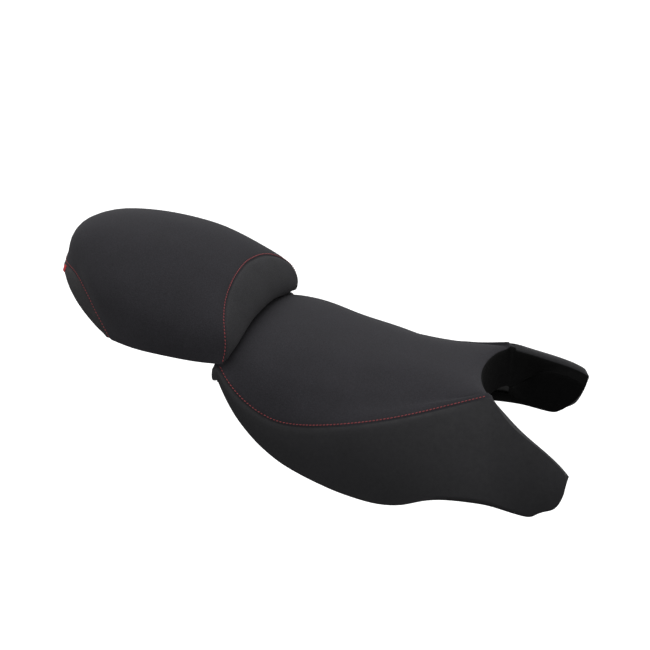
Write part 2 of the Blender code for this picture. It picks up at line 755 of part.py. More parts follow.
def rib_mesh(name, lines):
    """Upright ribs, each along a list of (x, y, upper face of the pan) places."""
    data = bpy.data.meshes.new(name)
    shape = bmesh.new()
    for line in lines:
        run = unit(np.array(line[-1]) - np.array(line[0]))
        aside = np.array((-run[1], run[0], 0.0)) * RIB / 2
        rings = []
        for x, y, z in line:
            middle = np.array((x, y, z - PAN / 2))
            deep = np.array((0.0, 0.0, PAN / 2 + RIB_DEPTH))
            corners = (middle + aside, middle - aside, middle - aside - deep, middle + aside - deep)
            rings.append([shape.verts.new(corner) for corner in corners])
        for a, b in zip(rings, rings[1:]):
            for i in range(4):
                shape.faces.new((a[i], a[(i + 1) % 4], b[(i + 1) % 4], b[i]))
        shape.faces.new(rings[0])
        shape.faces.new(rings[-1][::-1])
    bmesh.ops.recalc_face_normals(shape, faces=shape.faces)
    shape.to_mesh(data)
    shape.free()
    return data


def pan_details(pan, name, ribs, bosses, bores, parent=None):
    """Sets of ribs and the bosses joined under a pan, then the bores cut into the bosses."""
    tools = [(rib_mesh(f"{name}_ribs_{i}", lines), "UNION") for i, lines in enumerate(ribs)]
    tools.append((cylinders(name + "_bosses", bosses), "UNION"))
    tools.append((cylinders(name + "_bores", bores), "DIFFERENCE"))
    for data, operation in tools:
        cut_with(pan, cutter(data.name, data, parent), operation)


def rubber_bumper(name, spot, parent=None):
    """A pad with a stem, pressed up into its boss. The spot is the foot of the boss."""
    pad = BUMPER / 2
    stem = BUMPER_STEM / 2
    rise = BOSS_DEPTH - PAN - 3 * CLEAR
    profile = [(0.0, rise), (stem - 0.001, rise), (stem, rise - 0.001), (stem, -CLEAR),
               (pad - 0.001, -CLEAR), (pad, -CLEAR - 0.001), (pad * 0.85, -BUMPER_HEIGHT),
               (0.0, -BUMPER_HEIGHT)]
    return turned(name, profile, rubber(), spot, parent)


def button_screw(name, spot, grip, parent=None):
    """A screw from below: its head under the sheet, its shank up into the boss."""
    head = SCREW * 0.95
    shank = SCREW / 2
    under = -CLEAR
    profile = [(0.0, grip), (shank - 0.0005, grip), (shank, grip - 0.0005), (shank, under),
               (head, under), (head, under - 0.001), (head * 0.7, under - 0.0028),
               (0.0, under - 0.0028)]
    return turned(name, profile, zinc_steel(), spot, parent)


def rider_fittings(layers, pan):
    plate = layers.plate
    line = (plate[4, 2:-3] + plate[5, 2:-3]) / 2
    along = [line, line * np.array((1, -1, 1))]
    across = [across_seat((plate[:4, column] + plate[:4, column + 1]) / 2) for column in (4, 7)]

    bosses = []
    bores = []
    for i, (x, half) in enumerate(RIDER_BUMPERS):
        for side, word in ((1, "left"), (-1, "right")):
            top = height_at(plate, x, half)
            foot = top - PAN - BOSS_DEPTH
            bosses.append((x, half * side, foot, top - PAN * 0.6, BOSS))
            bores.append((x, half * side, foot - 0.001, foot + BOSS_DEPTH - PAN,
                          BUMPER_STEM / 2 + CLEAR))
            place = ("rear", "middle", "front")[i]
            rubber_bumper(f"rider_bumper_{place}_{word}", (x, half * side, foot))

    # Front tongue: a steel strip on two bosses, with a stepped end that hooks under the tank.
    x, half = TONGUE_SCREWS
    tongue_top = height_at(plate, x, 0.0) - PAN - RIB_DEPTH - 2 * CLEAR
    level = tongue_top - BRACKET / 2
    profile = [(x - 0.016, level), (x + 0.040, level), (x + 0.050, level - 0.008),
               (x + 0.066, level - 0.008)]
    holes = [(x, half * side, level - 0.01, level + 0.01, SCREW / 2 + CLEAR) for side in (-1, 1)]
    bent_strip("rider_front_tongue", profile, 0.050, BRACKET, zinc_steel(), holes)
    for side, word in ((1, "left"), (-1, "right")):
        top = height_at(plate, x, half)
        bosses.append((x, half * side, tongue_top + CLEAR, top - PAN * 0.6, BOSS * 0.8))
        bores.append((x, half * side, tongue_top - 0.001, top - PAN - 0.002, SCREW / 2 + CLEAR))
        grip = BRACKET + 0.006
        button_screw(f"rider_tongue_screw_{word}", (x, half * side, tongue_top - BRACKET), grip)

    # Rear bracket: it reaches back under the passenger seat, where two bolts hold it.
    x, half = BRACKET_SCREWS
    level = BRACKET / 2
    profile = [(-0.018, level), (x + 0.014, level)]
    holes = [(0.0, half * side, -0.01, 0.01, BOLT_HOLE / 2) for side in (-1, 1)]
    holes += [(x, half * side, -0.01, 0.01, SCREW / 2 + CLEAR) for side in (-1, 1)]
    bent_strip("rider_rear_bracket", profile, 0.088, BRACKET, zinc_steel(), holes)
    for side, word in ((1, "left"), (-1, "right")):
        top = height_at(plate, x, half)
        bosses.append((x, half * side, BRACKET + CLEAR, top - PAN * 0.6, BOSS * 0.8))
        bores.append((x, half * side, BRACKET - 0.001, top - PAN, SCREW / 2 + CLEAR))
        button_screw(f"rider_bracket_screw_{word}", (x, half * side, 0.0), BRACKET + 0.004)
    pan_details(pan, "rider_pan", (along, across), bosses, bores)


def beside(edge, next_line, normals):
    """A line of thread on a panel, a little way in from its edge."""
    aside = next_line - edge
    reach = np.minimum(THREAD_FROM_SEAM, np.linalg.norm(aside, axis=1) * 0.6)[:, None]
    return edge + unit(aside) * reach + unit(normals) * (THREAD / 2 + 3 * CLEAR)


def rider_seams(layers):
    """Stitching that runs beside each seam, on the top panel."""
    normal = shared_normals(layers.top, layers.side)[0]
    line = beside(layers.top[-1], layers.top[-2], normal[-1])
    for side, word in ((1, "left"), (-1, "right")):
        rod(f"rider_stitching_{word}", line * np.array((1, side, 1)), THREAD, 6, red_thread())


def build_rider():
    layers = RiderLayers()
    rider_cover_top(layers)
    rider_cover_side(layers, "rider_cover_side_left", 1)
    rider_cover_side(layers, "rider_cover_side_right", -1)
    rider_foam(layers)
    pan = rider_pan(layers)
    rider_fittings(layers, pan)
    rider_seams(layers)


# ---- passenger seat --------------------------------------------------------------------------
# Stations from the tail to the front lip; each has five places from the middle to the lower edge.
PASSENGER_STATIONS = [
    [(-0.331, 0, 0.1340), (-0.325, 0.035, 0.129), (-0.300, 0.068, 0.112), (-0.262, 0.094, 0.092),
     (-0.232, 0.1060, 0.0815)],
    [(-0.338, 0, 0.1500), (-0.331, 0.040, 0.147), (-0.303, 0.075, 0.133), (-0.262, 0.100, 0.108),
     (-0.226, 0.1110, 0.0805)],
    [(-0.331, 0, 0.1680), (-0.317, 0.040, 0.161), (-0.284, 0.072, 0.157), (-0.249, 0.100, 0.124),
     (-0.2185, 0.1155, 0.0800)],
    [(-0.300, 0, 0.2030), (-0.292, 0.045, 0.196), (-0.262, 0.084, 0.172), (-0.232, 0.112, 0.135),
     (-0.196, 0.1240, 0.0790)],
    [(-0.246, 0, 0.2200), (-0.240, 0.050, 0.212), (-0.222, 0.094, 0.182), (-0.200, 0.124, 0.138),
     (-0.165, 0.1310, 0.0780)],
    [(-0.180, 0, 0.2190), (-0.178, 0.052, 0.210), (-0.170, 0.100, 0.180), (-0.158, 0.133, 0.135),
     (-0.132, 0.1345, 0.0775)],
    [(-0.115, 0, 0.2030), (-0.113, 0.052, 0.195), (-0.108, 0.100, 0.169), (-0.100, 0.136, 0.125),
     (-0.085, 0.1365, 0.0770)],
    [(-0.066, 0, 0.1720), (-0.063, 0.045, 0.167), (-0.056, 0.095, 0.148), (-0.046, 0.128, 0.118),
     (-0.050, 0.1365, 0.0785)],
    [(-0.047, 0, 0.1460), (-0.046, 0.045, 0.143), (-0.042, 0.095, 0.127), (-0.037, 0.124, 0.104),
     (-0.043, 0.1355, 0.0790)],
    [(-0.036, 0, 0.1150), (-0.0355, 0.045, 0.113), (-0.034, 0.092, 0.103), (-0.035, 0.118, 0.093),
     (-0.041, 0.1310, 0.0795)],
    [(-0.048, 0, 0.0985), (-0.048, 0.045, 0.0965), (-0.046, 0.090, 0.087), (-0.046, 0.115, 0.082),
     (-0.047, 0.1260, 0.0790)],
]
REAR_SEAM = 2               # stations of the two cross seams
FRONT_SEAM = 7
PASSENGER_COLUMNS = (3, 8, 4)       # columns of the rear, top and front panels
PASSENGER_ROWS = 8
# Upper face of the passenger pan at each station: its place in the middle (x, z), then its lower
# edge on the left (x, y, z).
PASSENGER_PLATE = [
    (-0.322, 0.1385, -0.222, 0.0985, 0.0865), (-0.312, 0.1370, -0.214, 0.1030, 0.0855),
    (-0.300, 0.1350, -0.206, 0.1075, 0.0850), (-0.275, 0.1290, -0.190, 0.1155, 0.0840),
    (-0.235, 0.1210, -0.163, 0.1225, 0.0830), (-0.180, 0.1120, -0.132, 0.1260, 0.0825),
    (-0.125, 0.1100, -0.095, 0.1280, 0.0820), (-0.090, 0.1100, -0.072, 0.1265, 0.0835),
    (-0.080, 0.1090, -0.066, 0.1250, 0.0840), (-0.070, 0.1070, -0.061, 0.1215, 0.0845),
    (-0.061, 0.1035, -0.0575, 0.1175, 0.0845)]
PLATE_SHARE = 0.62          # share of the rows where the plate starts to turn down
LIFT_PLACE = (-0.105, 0.0, 0.100)   # where the lift's axis passes


class PassengerLayers:
    """All shared rows and columns of the passenger seat's left half."""

    def __init__(self):
        count = len(PASSENGER_STATIONS) - 1
        rear, top, front = PASSENGER_COLUMNS
        along = np.concatenate([steps(REAR_SEAM, rear),
                                REAR_SEAM + steps(FRONT_SEAM - REAR_SEAM, top)[1:],
                                FRONT_SEAM + steps(count - FRONT_SEAM, front)[1:]])
        rails = passenger_drawing(PASSENGER_STATIONS).transpose(1, 0, 2)
        self.skin = sheet(rails, steps(4, PASSENGER_ROWS), along)
        plate = spline([passenger_drawing((row[0], 0.0, row[1])) for row in PASSENGER_PLATE], along)
        low = spline([passenger_drawing(row[2:]) for row in PASSENGER_PLATE], along)
        rows = []
        for share in steps(1, PASSENGER_ROWS):
            turn = min(max((share - PLATE_SHARE) / (1 - PLATE_SHARE), 0.0), 1.0)
            turn = turn * turn * (3 - 2 * turn)
            row = plate.copy()
            row[:, 0] += (low[:, 0] - plate[:, 0]) * share ** 2
            row[:, 1] = low[:, 1] * share
            row[:, 2] += (low[:, 2] - plate[:, 2]) * turn
            rows.append(row)
        self.base = np.stack(rows, axis=0)
        self.lining = self.base - shared_normals(self.base)[0] * (PAN_TO_LINING + FOLD_SLACK)
        self.rear = rear
        self.front = rear + top

    def strips(self):
        """The folds under the skin: at the rear, in front and along the lower edge."""
        skin = self.skin
        lining = self.lining
        return (np.stack([lining[:, 0], skin[:, 0]], axis=1),
                np.stack([skin[:, -1], lining[:, -1]], axis=1),
                np.stack([skin[-1], lining[-1]], axis=0))


def passenger_cover(layers, name, first, last, look, parent):
    """One of the three cover panels, between two columns, with its fold under the pan."""
    net = Net()
    skin = layers.skin
    lining = layers.lining
    end = skin.shape[1] - 1
    rear, front, low = layers.strips()
    net.patch(skin[:, first:last + 1])
    net.patch(low[:, first:last + 1])
    net.patch(lining[-2:, max(first, 1):min(last, end - 1) + 1], flip=True)
    if first == 0:
        net.patch(rear)
        net.patch(lining[:, :2], flip=True)
    if last == end:
        net.patch(front)
        net.patch(lining[:, -2:], flip=True)
    trim(net, SEAM_GAP / 2)
    return panel_object(name, net, look, COVER, parent)


def passenger_base(layers):
    base = layers.base.copy()
    pull(base, False, 0, 1, EDGE_PULL)
    pull(base, False, -1, -2, EDGE_PULL)
    pull(base, True, -1, -2, 2 * EDGE_PULL)
    return base


def passenger_pan(layers, parent):
    net = Net()
    net.patch(passenger_base(layers))
    return panel_object("passenger_pan", net, pan_plastic(), PAN, parent)


def passenger_foam(layers, parent):
    normals = shared_normals(layers.skin, *layers.strips(), sharpest=FOLD_SHARPEST)[0]
    out = layers.skin - normals * SKIN_TO_FOAM
    out[:, 0] -= unit(normals[:, 0]) * FOLD_RELIEF
    out[-1, 1:] -= unit(normals[-1, 1:]) * FOLD_RELIEF
    base = passenger_base(layers)
    base = base + shared_normals(base)[0] * 4 * CLEAR
    base[:, 0] += (base[:, 1] - base[:, 0]) * FOLD_SHARE
    base[:, 0, 2] += FOLD_SHARE * FOLD_RELIEF * 2
    net = Net()
    net.patch(out)
    net.patch(base, flip=True)
    net.patch(np.stack([base[:, 0], out[:, 0]], axis=1))
    net.patch(np.stack([out[:, -1], base[:, -1]], axis=1))
    net.patch(np.stack([out[-1], base[-1]], axis=0))
    return closed_object("passenger_foam", net, foam_grey(), parent)


def passenger_seams(layers, parent):
    """Stitching beside the two cross seams, on the top panel, right across the seat."""
    normals = shared_normals(layers.skin)[0]
    for name, at, inside in (("rear", layers.rear, layers.rear + 1),
                             ("front", layers.front, layers.front - 1)):
        half = beside(layers.skin[:, at], layers.skin[:, inside], normals[:, at])
        half[0, 1] = 0.0
        rod(f"passenger_stitching_{name}", across_seat(half[:-1]), THREAD, 6, red_thread(), parent)


def passenger_tag(layers, parent):
    """A small folded cloth tag that hangs from the rear seam, on the right."""
    skin = layers.skin[:, layers.rear - 1] * np.array((1, -1, 1))
    seam = layers.skin[:, layers.rear] * np.array((1, -1, 1))
    normal = unit(shared_normals(layers.skin)[0][:, layers.rear - 1] * np.array((1, -1, 1)))
    middle = between(np.stack([seam, skin], axis=0), 0.55, TAG_ROW)
    out = unit(between(normal[None], 0, TAG_ROW))
    along = unit(skin[3] - skin[1])
    along = unit(along - out * float(along @ out))
    up = np.cross(out, along)
    if up[2] < 0:
        up = -up
    points = []
    for lift in (TAG_LIFT, TAG_LIFT + TAG[2]):
        for a, b in ((-1, -1), (1, -1), (1, 1), (-1, 1)):
            points.append(middle + along * a * TAG[0] / 2 + up * b * TAG[1] / 2 + out * lift)
    shape = bmesh.new()
    made = [shape.verts.new(p) for p in points]
    bmesh.ops.convex_hull(shape, input=made)
    data = bpy.data.meshes.new("passenger_tag")
    shape.to_mesh(data)
    shape.free()
    add_object("passenger_tag", data, red_label(), parent)


TAG = (0.0120, 0.0090, 0.0008)      # width, height and thickness
TAG_ROW = 2.6
TAG_LIFT = 0.0022
PASSENGER_BUMPERS = [(-0.138, 0.048), (-0.075, 0.075)]  # x and half spacing
HOOKS = (-0.040, 0.030)             # x of the screw and half spacing
HOOK_WIDTH = 0.022
STRIKER = (-0.098, 0.013, 0.030)    # x, half spacing of the rod's legs and of the plate's screws
STRIKER_PLATE = (0.036, 0.078)      # length and width


def passenger_fittings(layers, pan, parent):
    base = layers.base
    ribs = [across_seat((base[:6, column] + base[:6, column + 1]) / 2) for column in (4, 7)]

    bosses = []
    bores = []
    for (x, half), place in zip(PASSENGER_BUMPERS, ("rear", "front")):
        for side, word in ((1, "left"), (-1, "right")):
            top = height_at(base, x, half)
            foot = top - PAN - BOSS_DEPTH
            bosses.append((x, half * side, foot, top - PAN * 0.6, BOSS))
            bores.append((x, half * side, foot - 0.001, foot + BOSS_DEPTH - PAN,
                          BUMPER_STEM / 2 + CLEAR))
            rubber_bumper(f"passenger_bumper_{place}_{word}", (x, half * side, foot), parent)

    # Two hooks at the front, each a stepped strip on one boss.
    x, half = HOOKS
    for side, word in ((1, "left"), (-1, "right")):
        top = height_at(base, x, half)
        steel = top - PAN - RIB_DEPTH - 2 * CLEAR
        level = steel - BRACKET / 2
        profile = [(x - 0.010, level), (x + 0.012, level), (x + 0.020, level - 0.012),
                   (x + 0.036, level - 0.012)]
        hole = (x, half * side, level - 0.01, level + 0.01, SCREW / 2 + CLEAR)
        bent_strip(f"passenger_hook_{word}", profile, HOOK_WIDTH, BRACKET, zinc_steel(), [hole],
                   parent, half * side)
        bosses.append((x, half * side, steel + CLEAR, top - PAN * 0.6, BOSS * 0.8))
        bores.append((x, half * side, steel - 0.001, top - PAN - 0.001, SCREW / 2 + CLEAR))
        button_screw(f"passenger_hook_screw_{word}", (x, half * side, steel - BRACKET),
                     BRACKET + 0.005, parent)

    # The striker: a round rod bent to a loop, through a plate on two bosses.
    x, leg, hole = STRIKER
    top = height_at(base, x, 0.0)
    steel = top - PAN - RIB_DEPTH - 2 * CLEAR
    level = steel - BRACKET / 2
    length, width = STRIKER_PLATE
    holes = [(x, leg * side, level - 0.01, level + 0.01, STRIKER_ROD / 2 + CLEAR) for side in (-1, 1)]
    holes += [(x, hole * side, level - 0.01, level + 0.01, SCREW / 2 + CLEAR) for side in (-1, 1)]
    profile = [(x - length / 2, level), (x + length / 2, level)]
    bent_strip("passenger_striker_plate", profile, width, BRACKET, zinc_steel(), holes, parent)
    for side, word in ((1, "left"), (-1, "right")):
        over = height_at(base, x, hole)
        bosses.append((x, hole * side, steel + CLEAR, over - PAN * 0.6, BOSS * 0.8))
        bores.append((x, hole * side, steel - 0.001, over - PAN - 0.001, SCREW / 2 + CLEAR))
        button_screw(f"passenger_striker_screw_{word}", (x, hole * side, steel - BRACKET),
                     BRACKET + 0.005, parent)
        nut = STRIKER_ROD / 2 + CLEAR
        profile = [(nut, NUT), (nut + 0.0028, NUT), (nut + 0.0034, NUT - 0.0006),
                   (nut + 0.0034, CLEAR), (nut, CLEAR)]
        turned(f"passenger_striker_nut_{word}", profile, zinc_steel(), (x, leg * side, steel), parent,
               True)
    low = steel - BRACKET - STRIKER_DROP + leg
    arc = [(x, leg * math.cos(turn), low - leg * math.sin(turn)) for turn in steps(math.pi, 8)]
    ends = steel + NUT + 0.001
    rod("passenger_striker", [(x, leg, ends), *arc, (x, -leg, ends)], STRIKER_ROD, 10, zinc_steel(),
        parent)
    pan_details(pan, "passenger_pan", (ribs,), bosses, bores, parent)


NUT = 0.0045                # height of the striker's nuts


def build_passenger():
    lift = bpy.data.objects.new("passenger_seat_lift", None)
    bpy.data.collections[COLLECTION].objects.link(lift)
    lift.location = LIFT_PLACE
    layers = PassengerLayers()
    end = layers.skin.shape[1] - 1
    passenger_cover(layers, "passenger_cover_rear", 0, layers.rear, vinyl(), lift)
    passenger_cover(layers, "passenger_cover_top", layers.rear, layers.front, suede(), lift)
    passenger_cover(layers, "passenger_cover_front", layers.front, end, vinyl(), lift)
    passenger_foam(layers, lift)
    pan = passenger_pan(layers, lift)
    passenger_fittings(layers, pan, lift)
    passenger_seams(layers, lift)
    passenger_tag(layers, lift)


def clear_scene():
    for old in list(bpy.data.objects):
        bpy.data.objects.remove(old)
    for name in (COLLECTION, "cutters"):
        made = bpy.data.collections.new(name)
        bpy.context.scene.collection.children.link(made)


clear_scene()
build_rider()
build_passenger()
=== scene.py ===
"""Motorcycle seat: a rider seat with two horns round the tank, and a raised passenger seat.

Each seat's cover starts as part.py's coarse grid. A cloth simulation swells it, splines make it
finer, its seams are drawn in, and its edges fold in under the pan. Lengths are in metres.
"""
import json
import math

import bmesh
import bpy
import numpy as np
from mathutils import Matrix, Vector

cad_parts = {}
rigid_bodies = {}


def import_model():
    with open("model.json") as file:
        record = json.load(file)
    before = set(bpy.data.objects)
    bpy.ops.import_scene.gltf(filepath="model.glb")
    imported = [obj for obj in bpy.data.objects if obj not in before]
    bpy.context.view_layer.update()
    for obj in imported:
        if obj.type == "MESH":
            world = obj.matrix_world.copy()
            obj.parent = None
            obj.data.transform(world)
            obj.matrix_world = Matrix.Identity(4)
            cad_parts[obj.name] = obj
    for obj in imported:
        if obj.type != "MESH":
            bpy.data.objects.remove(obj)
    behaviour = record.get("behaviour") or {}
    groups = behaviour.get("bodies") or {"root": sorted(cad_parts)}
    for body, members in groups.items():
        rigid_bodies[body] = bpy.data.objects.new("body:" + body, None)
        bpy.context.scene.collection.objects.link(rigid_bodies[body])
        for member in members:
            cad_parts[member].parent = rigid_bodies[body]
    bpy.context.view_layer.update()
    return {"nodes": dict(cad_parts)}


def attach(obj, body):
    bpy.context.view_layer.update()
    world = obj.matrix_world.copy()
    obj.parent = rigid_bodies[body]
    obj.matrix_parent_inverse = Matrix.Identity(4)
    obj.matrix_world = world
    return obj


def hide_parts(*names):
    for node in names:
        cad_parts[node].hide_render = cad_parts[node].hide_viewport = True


for item in list(bpy.data.objects):
    bpy.data.objects.remove(item, do_unlink=True)

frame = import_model()
NODES = frame["nodes"]

# ---- camera
CAMERA_AT = Vector((0.520, -1.139, 0.593))
LENS = 53.5
AZIMUTH = math.radians(18.9)
ELEVATION = math.radians(24.2)
BACK = Vector((math.sin(AZIMUTH) * math.cos(ELEVATION),
               -math.cos(AZIMUTH) * math.cos(ELEVATION), math.sin(ELEVATION)))
camera = bpy.data.objects.new("camera", bpy.data.cameras.new("camera"))
bpy.context.scene.collection.objects.link(camera)
camera.data.lens = LENS
camera.data.sensor_width = 36.0
camera.location = CAMERA_AT
camera.rotation_euler = (-BACK).to_track_quat("-Z", "Y").to_euler()
camera.data.clip_end = 50.0
bpy.context.scene.camera = camera

# ---- sizes, as in part.py
DATUM = np.array((0.080, 0.0, -0.040))
COVER = 0.0012
CLEAR = 0.0003
SKIN_TO_FOAM = COVER + CLEAR + 0.0012
PAN_TO_LINING = 0.0030 + CLEAR + COVER
FOLD_SLACK = 0.0014
HORN_FOAM = 0.0120
EDGE_FOAM = 0.0040
WING_REACH = 0.92
WING_RISE = (1.9, 1.2, 0.7)
ROLL = 0.0090
LIFT = 0.0020
LAST = 7
BODY = 12
HORN_STATIONS = 5
HORN = 6
TOP_ROWS = 7
SIDE_ROWS = 4
RIDER_RAILS = {
    "centre": [(-0.052, 0.0, 0.0950), (-0.025, 0.0, 0.0985), (0.020, 0.0, 0.0990),
               (0.070, 0.0, 0.0875), (0.125, 0.0, 0.0775), (0.185, 0.0, 0.0700),
               (0.235, 0.0, 0.0665), (0.261, 0.0, 0.0640)],
    "inner": [(-0.052, 0.050, 0.0925), (-0.025, 0.050, 0.0960), (0.020, 0.050, 0.0965),
              (0.070, 0.050, 0.0850), (0.125, 0.050, 0.0750), (0.185, 0.048, 0.0675),
              (0.236, 0.045, 0.0650), (0.2675, 0.042, 0.0645)],
    "shoulder": [(-0.051, 0.095, 0.0845), (-0.025, 0.100, 0.0870), (0.020, 0.103, 0.0830),
                 (0.070, 0.103, 0.0710), (0.125, 0.100, 0.0615), (0.185, 0.085, 0.0555),
                 (0.238, 0.075, 0.0580), (0.279, 0.067, 0.0640)],
    "above_seam": [(-0.0505, 0.118, 0.0800), (-0.025, 0.128, 0.0700), (0.020, 0.132, 0.0560),
                   (0.070, 0.132, 0.0450), (0.125, 0.127, 0.0430), (0.185, 0.108, 0.0450),
                   (0.238, 0.089, 0.0525), (0.286, 0.077, 0.0640)],
    "seam": [(-0.0500, 0.133, 0.0765), (-0.025, 0.143, 0.0480), (0.020, 0.1465, 0.0190),
             (0.070, 0.1475, 0.0160), (0.125, 0.1445, 0.0260), (0.185, 0.125, 0.0365),
             (0.239, 0.100, 0.0480), (0.291, 0.084, 0.0640)],
    "side": [(-0.0490, 0.1380, 0.0680), (-0.025, 0.1470, 0.0320), (0.020, 0.1500, -0.0060),
             (0.070, 0.1520, -0.0200), (0.127, 0.1525, -0.0220), (0.187, 0.1460, -0.0180),
             (0.238, 0.1330, -0.0060), (0.291, 0.1230, 0.0060)],
    "low": [(-0.0480, 0.1395, 0.0570), (-0.023, 0.1450, 0.0140), (0.020, 0.1465, -0.0310),
            (0.072, 0.1465, -0.0580), (0.130, 0.1465, -0.0740), (0.190, 0.1460, -0.0760),
            (0.236, 0.1460, -0.0580), (0.289, 0.1450, -0.0500)],
}
HORN_RAILS = {
    "rim": [(0.310, 0.100, 0.0545), (0.338, 0.118, 0.0410), (0.368, 0.131, 0.0280),
            (0.390, 0.140, 0.0150), (0.400, 0.1450, -0.0020)],
    "side": [(0.312, 0.128, 0.0030), (0.338, 0.136, -0.0060), (0.362, 0.142, -0.0140),
             (0.382, 0.1465, -0.0200), (0.3890, 0.1475, -0.0290)],
    "low": [(0.316, 0.1450, -0.0510), (0.336, 0.1440, -0.0545), (0.350, 0.1430, -0.0570),
            (0.361, 0.1425, -0.0565), (0.3690, 0.1425, -0.0500)],
}
PLATE_HEIGHTS = (0.054, 0.051, 0.045, 0.036, 0.027, 0.019, 0.013, 0.010)
KNEE = [(-0.0500, 0.112, 0.0530), (-0.025, 0.116, 0.0420), (0.020, 0.120, 0.0320),
        (0.070, 0.121, 0.0220), (0.125, 0.121, 0.0140), (0.185, 0.114, 0.0090),
        (0.240, 0.1000, 0.0060), (0.2965, 0.0775, 0.0060)]
PASSENGER_STATIONS = [
    [(-0.331, 0, 0.1340), (-0.325, 0.035, 0.129), (-0.300, 0.068, 0.112),
     (-0.262, 0.094, 0.092), (-0.232, 0.1060, 0.0815)],
    [(-0.338, 0, 0.1500), (-0.331, 0.040, 0.147), (-0.303, 0.075, 0.133),
     (-0.262, 0.100, 0.108), (-0.226, 0.1110, 0.0805)],
    [(-0.331, 0, 0.1680), (-0.317, 0.040, 0.161), (-0.284, 0.072, 0.157),
     (-0.249, 0.100, 0.124), (-0.2185, 0.1155, 0.0800)],
    [(-0.300, 0, 0.2030), (-0.292, 0.045, 0.196), (-0.262, 0.084, 0.172),
     (-0.232, 0.112, 0.135), (-0.196, 0.1240, 0.0790)],
    [(-0.246, 0, 0.2200), (-0.240, 0.050, 0.212), (-0.222, 0.094, 0.182),
     (-0.200, 0.124, 0.138), (-0.165, 0.1310, 0.0780)],
    [(-0.180, 0, 0.2190), (-0.178, 0.052, 0.210), (-0.170, 0.100, 0.180),
     (-0.158, 0.133, 0.135), (-0.132, 0.1345, 0.0775)],
    [(-0.115, 0, 0.2030), (-0.113, 0.052, 0.195), (-0.108, 0.100, 0.169),
     (-0.100, 0.136, 0.125), (-0.085, 0.1365, 0.0770)],
    [(-0.066, 0, 0.1720), (-0.063, 0.045, 0.167), (-0.056, 0.095, 0.148),
     (-0.046, 0.128, 0.118), (-0.050, 0.1365, 0.0785)],
    [(-0.047, 0, 0.1460), (-0.046, 0.045, 0.143), (-0.042, 0.095, 0.127),
     (-0.037, 0.124, 0.104), (-0.043, 0.1355, 0.0790)],
    [(-0.036, 0, 0.1150), (-0.0355, 0.045, 0.113), (-0.034, 0.092, 0.103),
     (-0.035, 0.118, 0.093), (-0.041, 0.1310, 0.0795)],
    [(-0.048, 0, 0.0985), (-0.048, 0.045, 0.0965), (-0.046, 0.090, 0.087),
     (-0.046, 0.115, 0.082), (-0.047, 0.1260, 0.0790)],
]
PASSENGER_PLATE = [
    (-0.322, 0.1385, -0.222, 0.0985, 0.0865), (-0.312, 0.1370, -0.214, 0.1030, 0.0855),
    (-0.300, 0.1350, -0.206, 0.1075, 0.0850), (-0.275, 0.1290, -0.190, 0.1155, 0.0840),
    (-0.235, 0.1210, -0.163, 0.1225, 0.0830), (-0.180, 0.1120, -0.132, 0.1260, 0.0825),
    (-0.125, 0.1100, -0.095, 0.1280, 0.0820), (-0.090, 0.1100, -0.072, 0.1265, 0.0835),
    (-0.080, 0.1090, -0.066, 0.1250, 0.0840), (-0.070, 0.1070, -0.061, 0.1215, 0.0845),
    (-0.061, 0.1035, -0.0575, 0.1175, 0.0845),
]
PLATE_SHARE = 0.62
REAR_SEAM = 2
FRONT_SEAM = 7
PASSENGER_COLUMNS = (3, 8, 4)
PASSENGER_ROWS = 8
FLIP_Y = np.array((1.0, -1.0, 1.0))

# ---- sizes of the fabric's detail
FINE = 4                    # fine cells in each of part.py's, and half of it in a doubled grid's
NEAR_SEAM = (0.04, 0.08, 0.13, 0.19)    # extra lines beside a seam, in shares of a cell
GROOVE = 0.0010             # depth of a seam's groove
GROOVE_WIDTH = 0.0024
GROOVE_FADE = 8.0           # fine columns over which it ends at the tank cut-out
WELT = 0.0003               # height of the fabric's low swelling beside the groove
WRINKLE = 0.00035           # height of the shallow wrinkles between the seams
WRINKLE_SIZE = 0.055
PUCKER = 0.00022            # height of the small puckers beside a stitched seam
PUCKER_REACH = 0.0090
STITCH_PITCH = 0.0045
STITCH_LENGTH = 0.0033
STITCH_RADIUS = 0.00062
STITCH_FROM_SEAM = 0.0034
# cross-sections of a stitch: share of its length, share of its radius, height
STITCH_RINGS = ((0.0, 0.35, -0.0003), (0.12, 0.85, 0.0001), (0.32, 1.0, 0.00034),
                (0.68, 1.0, 0.00034), (0.88, 0.85, 0.0001), (1.0, 0.35, -0.0003))
STITCH_SIDES = 8
STITCH_SLANT = 0.0005

SWELL_CAP = 0.0018          # how far the simulated fabric may move
SIM_FRAMES = 20
CLOTH = {"quality": 5, "mass": 0.3, "tension_stiffness": 15, "compression_stiffness": 15,
         "shear_stiffness": 5, "bending_stiffness": 0.6, "use_pressure": True,
         "uniform_pressure_force": 4.0, "vertex_group_mass": "pins"}

# the rider seat's rim, from the covers' edge inwards to the pan
RIM_LINES = 20
ROLL_LINES = 6              # lines of the rim's section that the top cover takes
HORN_ROLL_LINES = 9         # and the side covers
RIM_SMOOTHING = 14
RIM_BACK = ((1, 0.0100), (2, 0.0105), (3, 0.0060))      # inner lines drawn back at their ends
RIM_BACK_COLUMNS = 8
SIDE_FOLD_BACK = 6          # fine columns by which the side cover's lower fold stops short
NOSE_BULGE = 0.0055         # how far the horns' ends round out past the CAD's last column
NOSE_CORNER = 0.0090        # and how far their top corner stands back

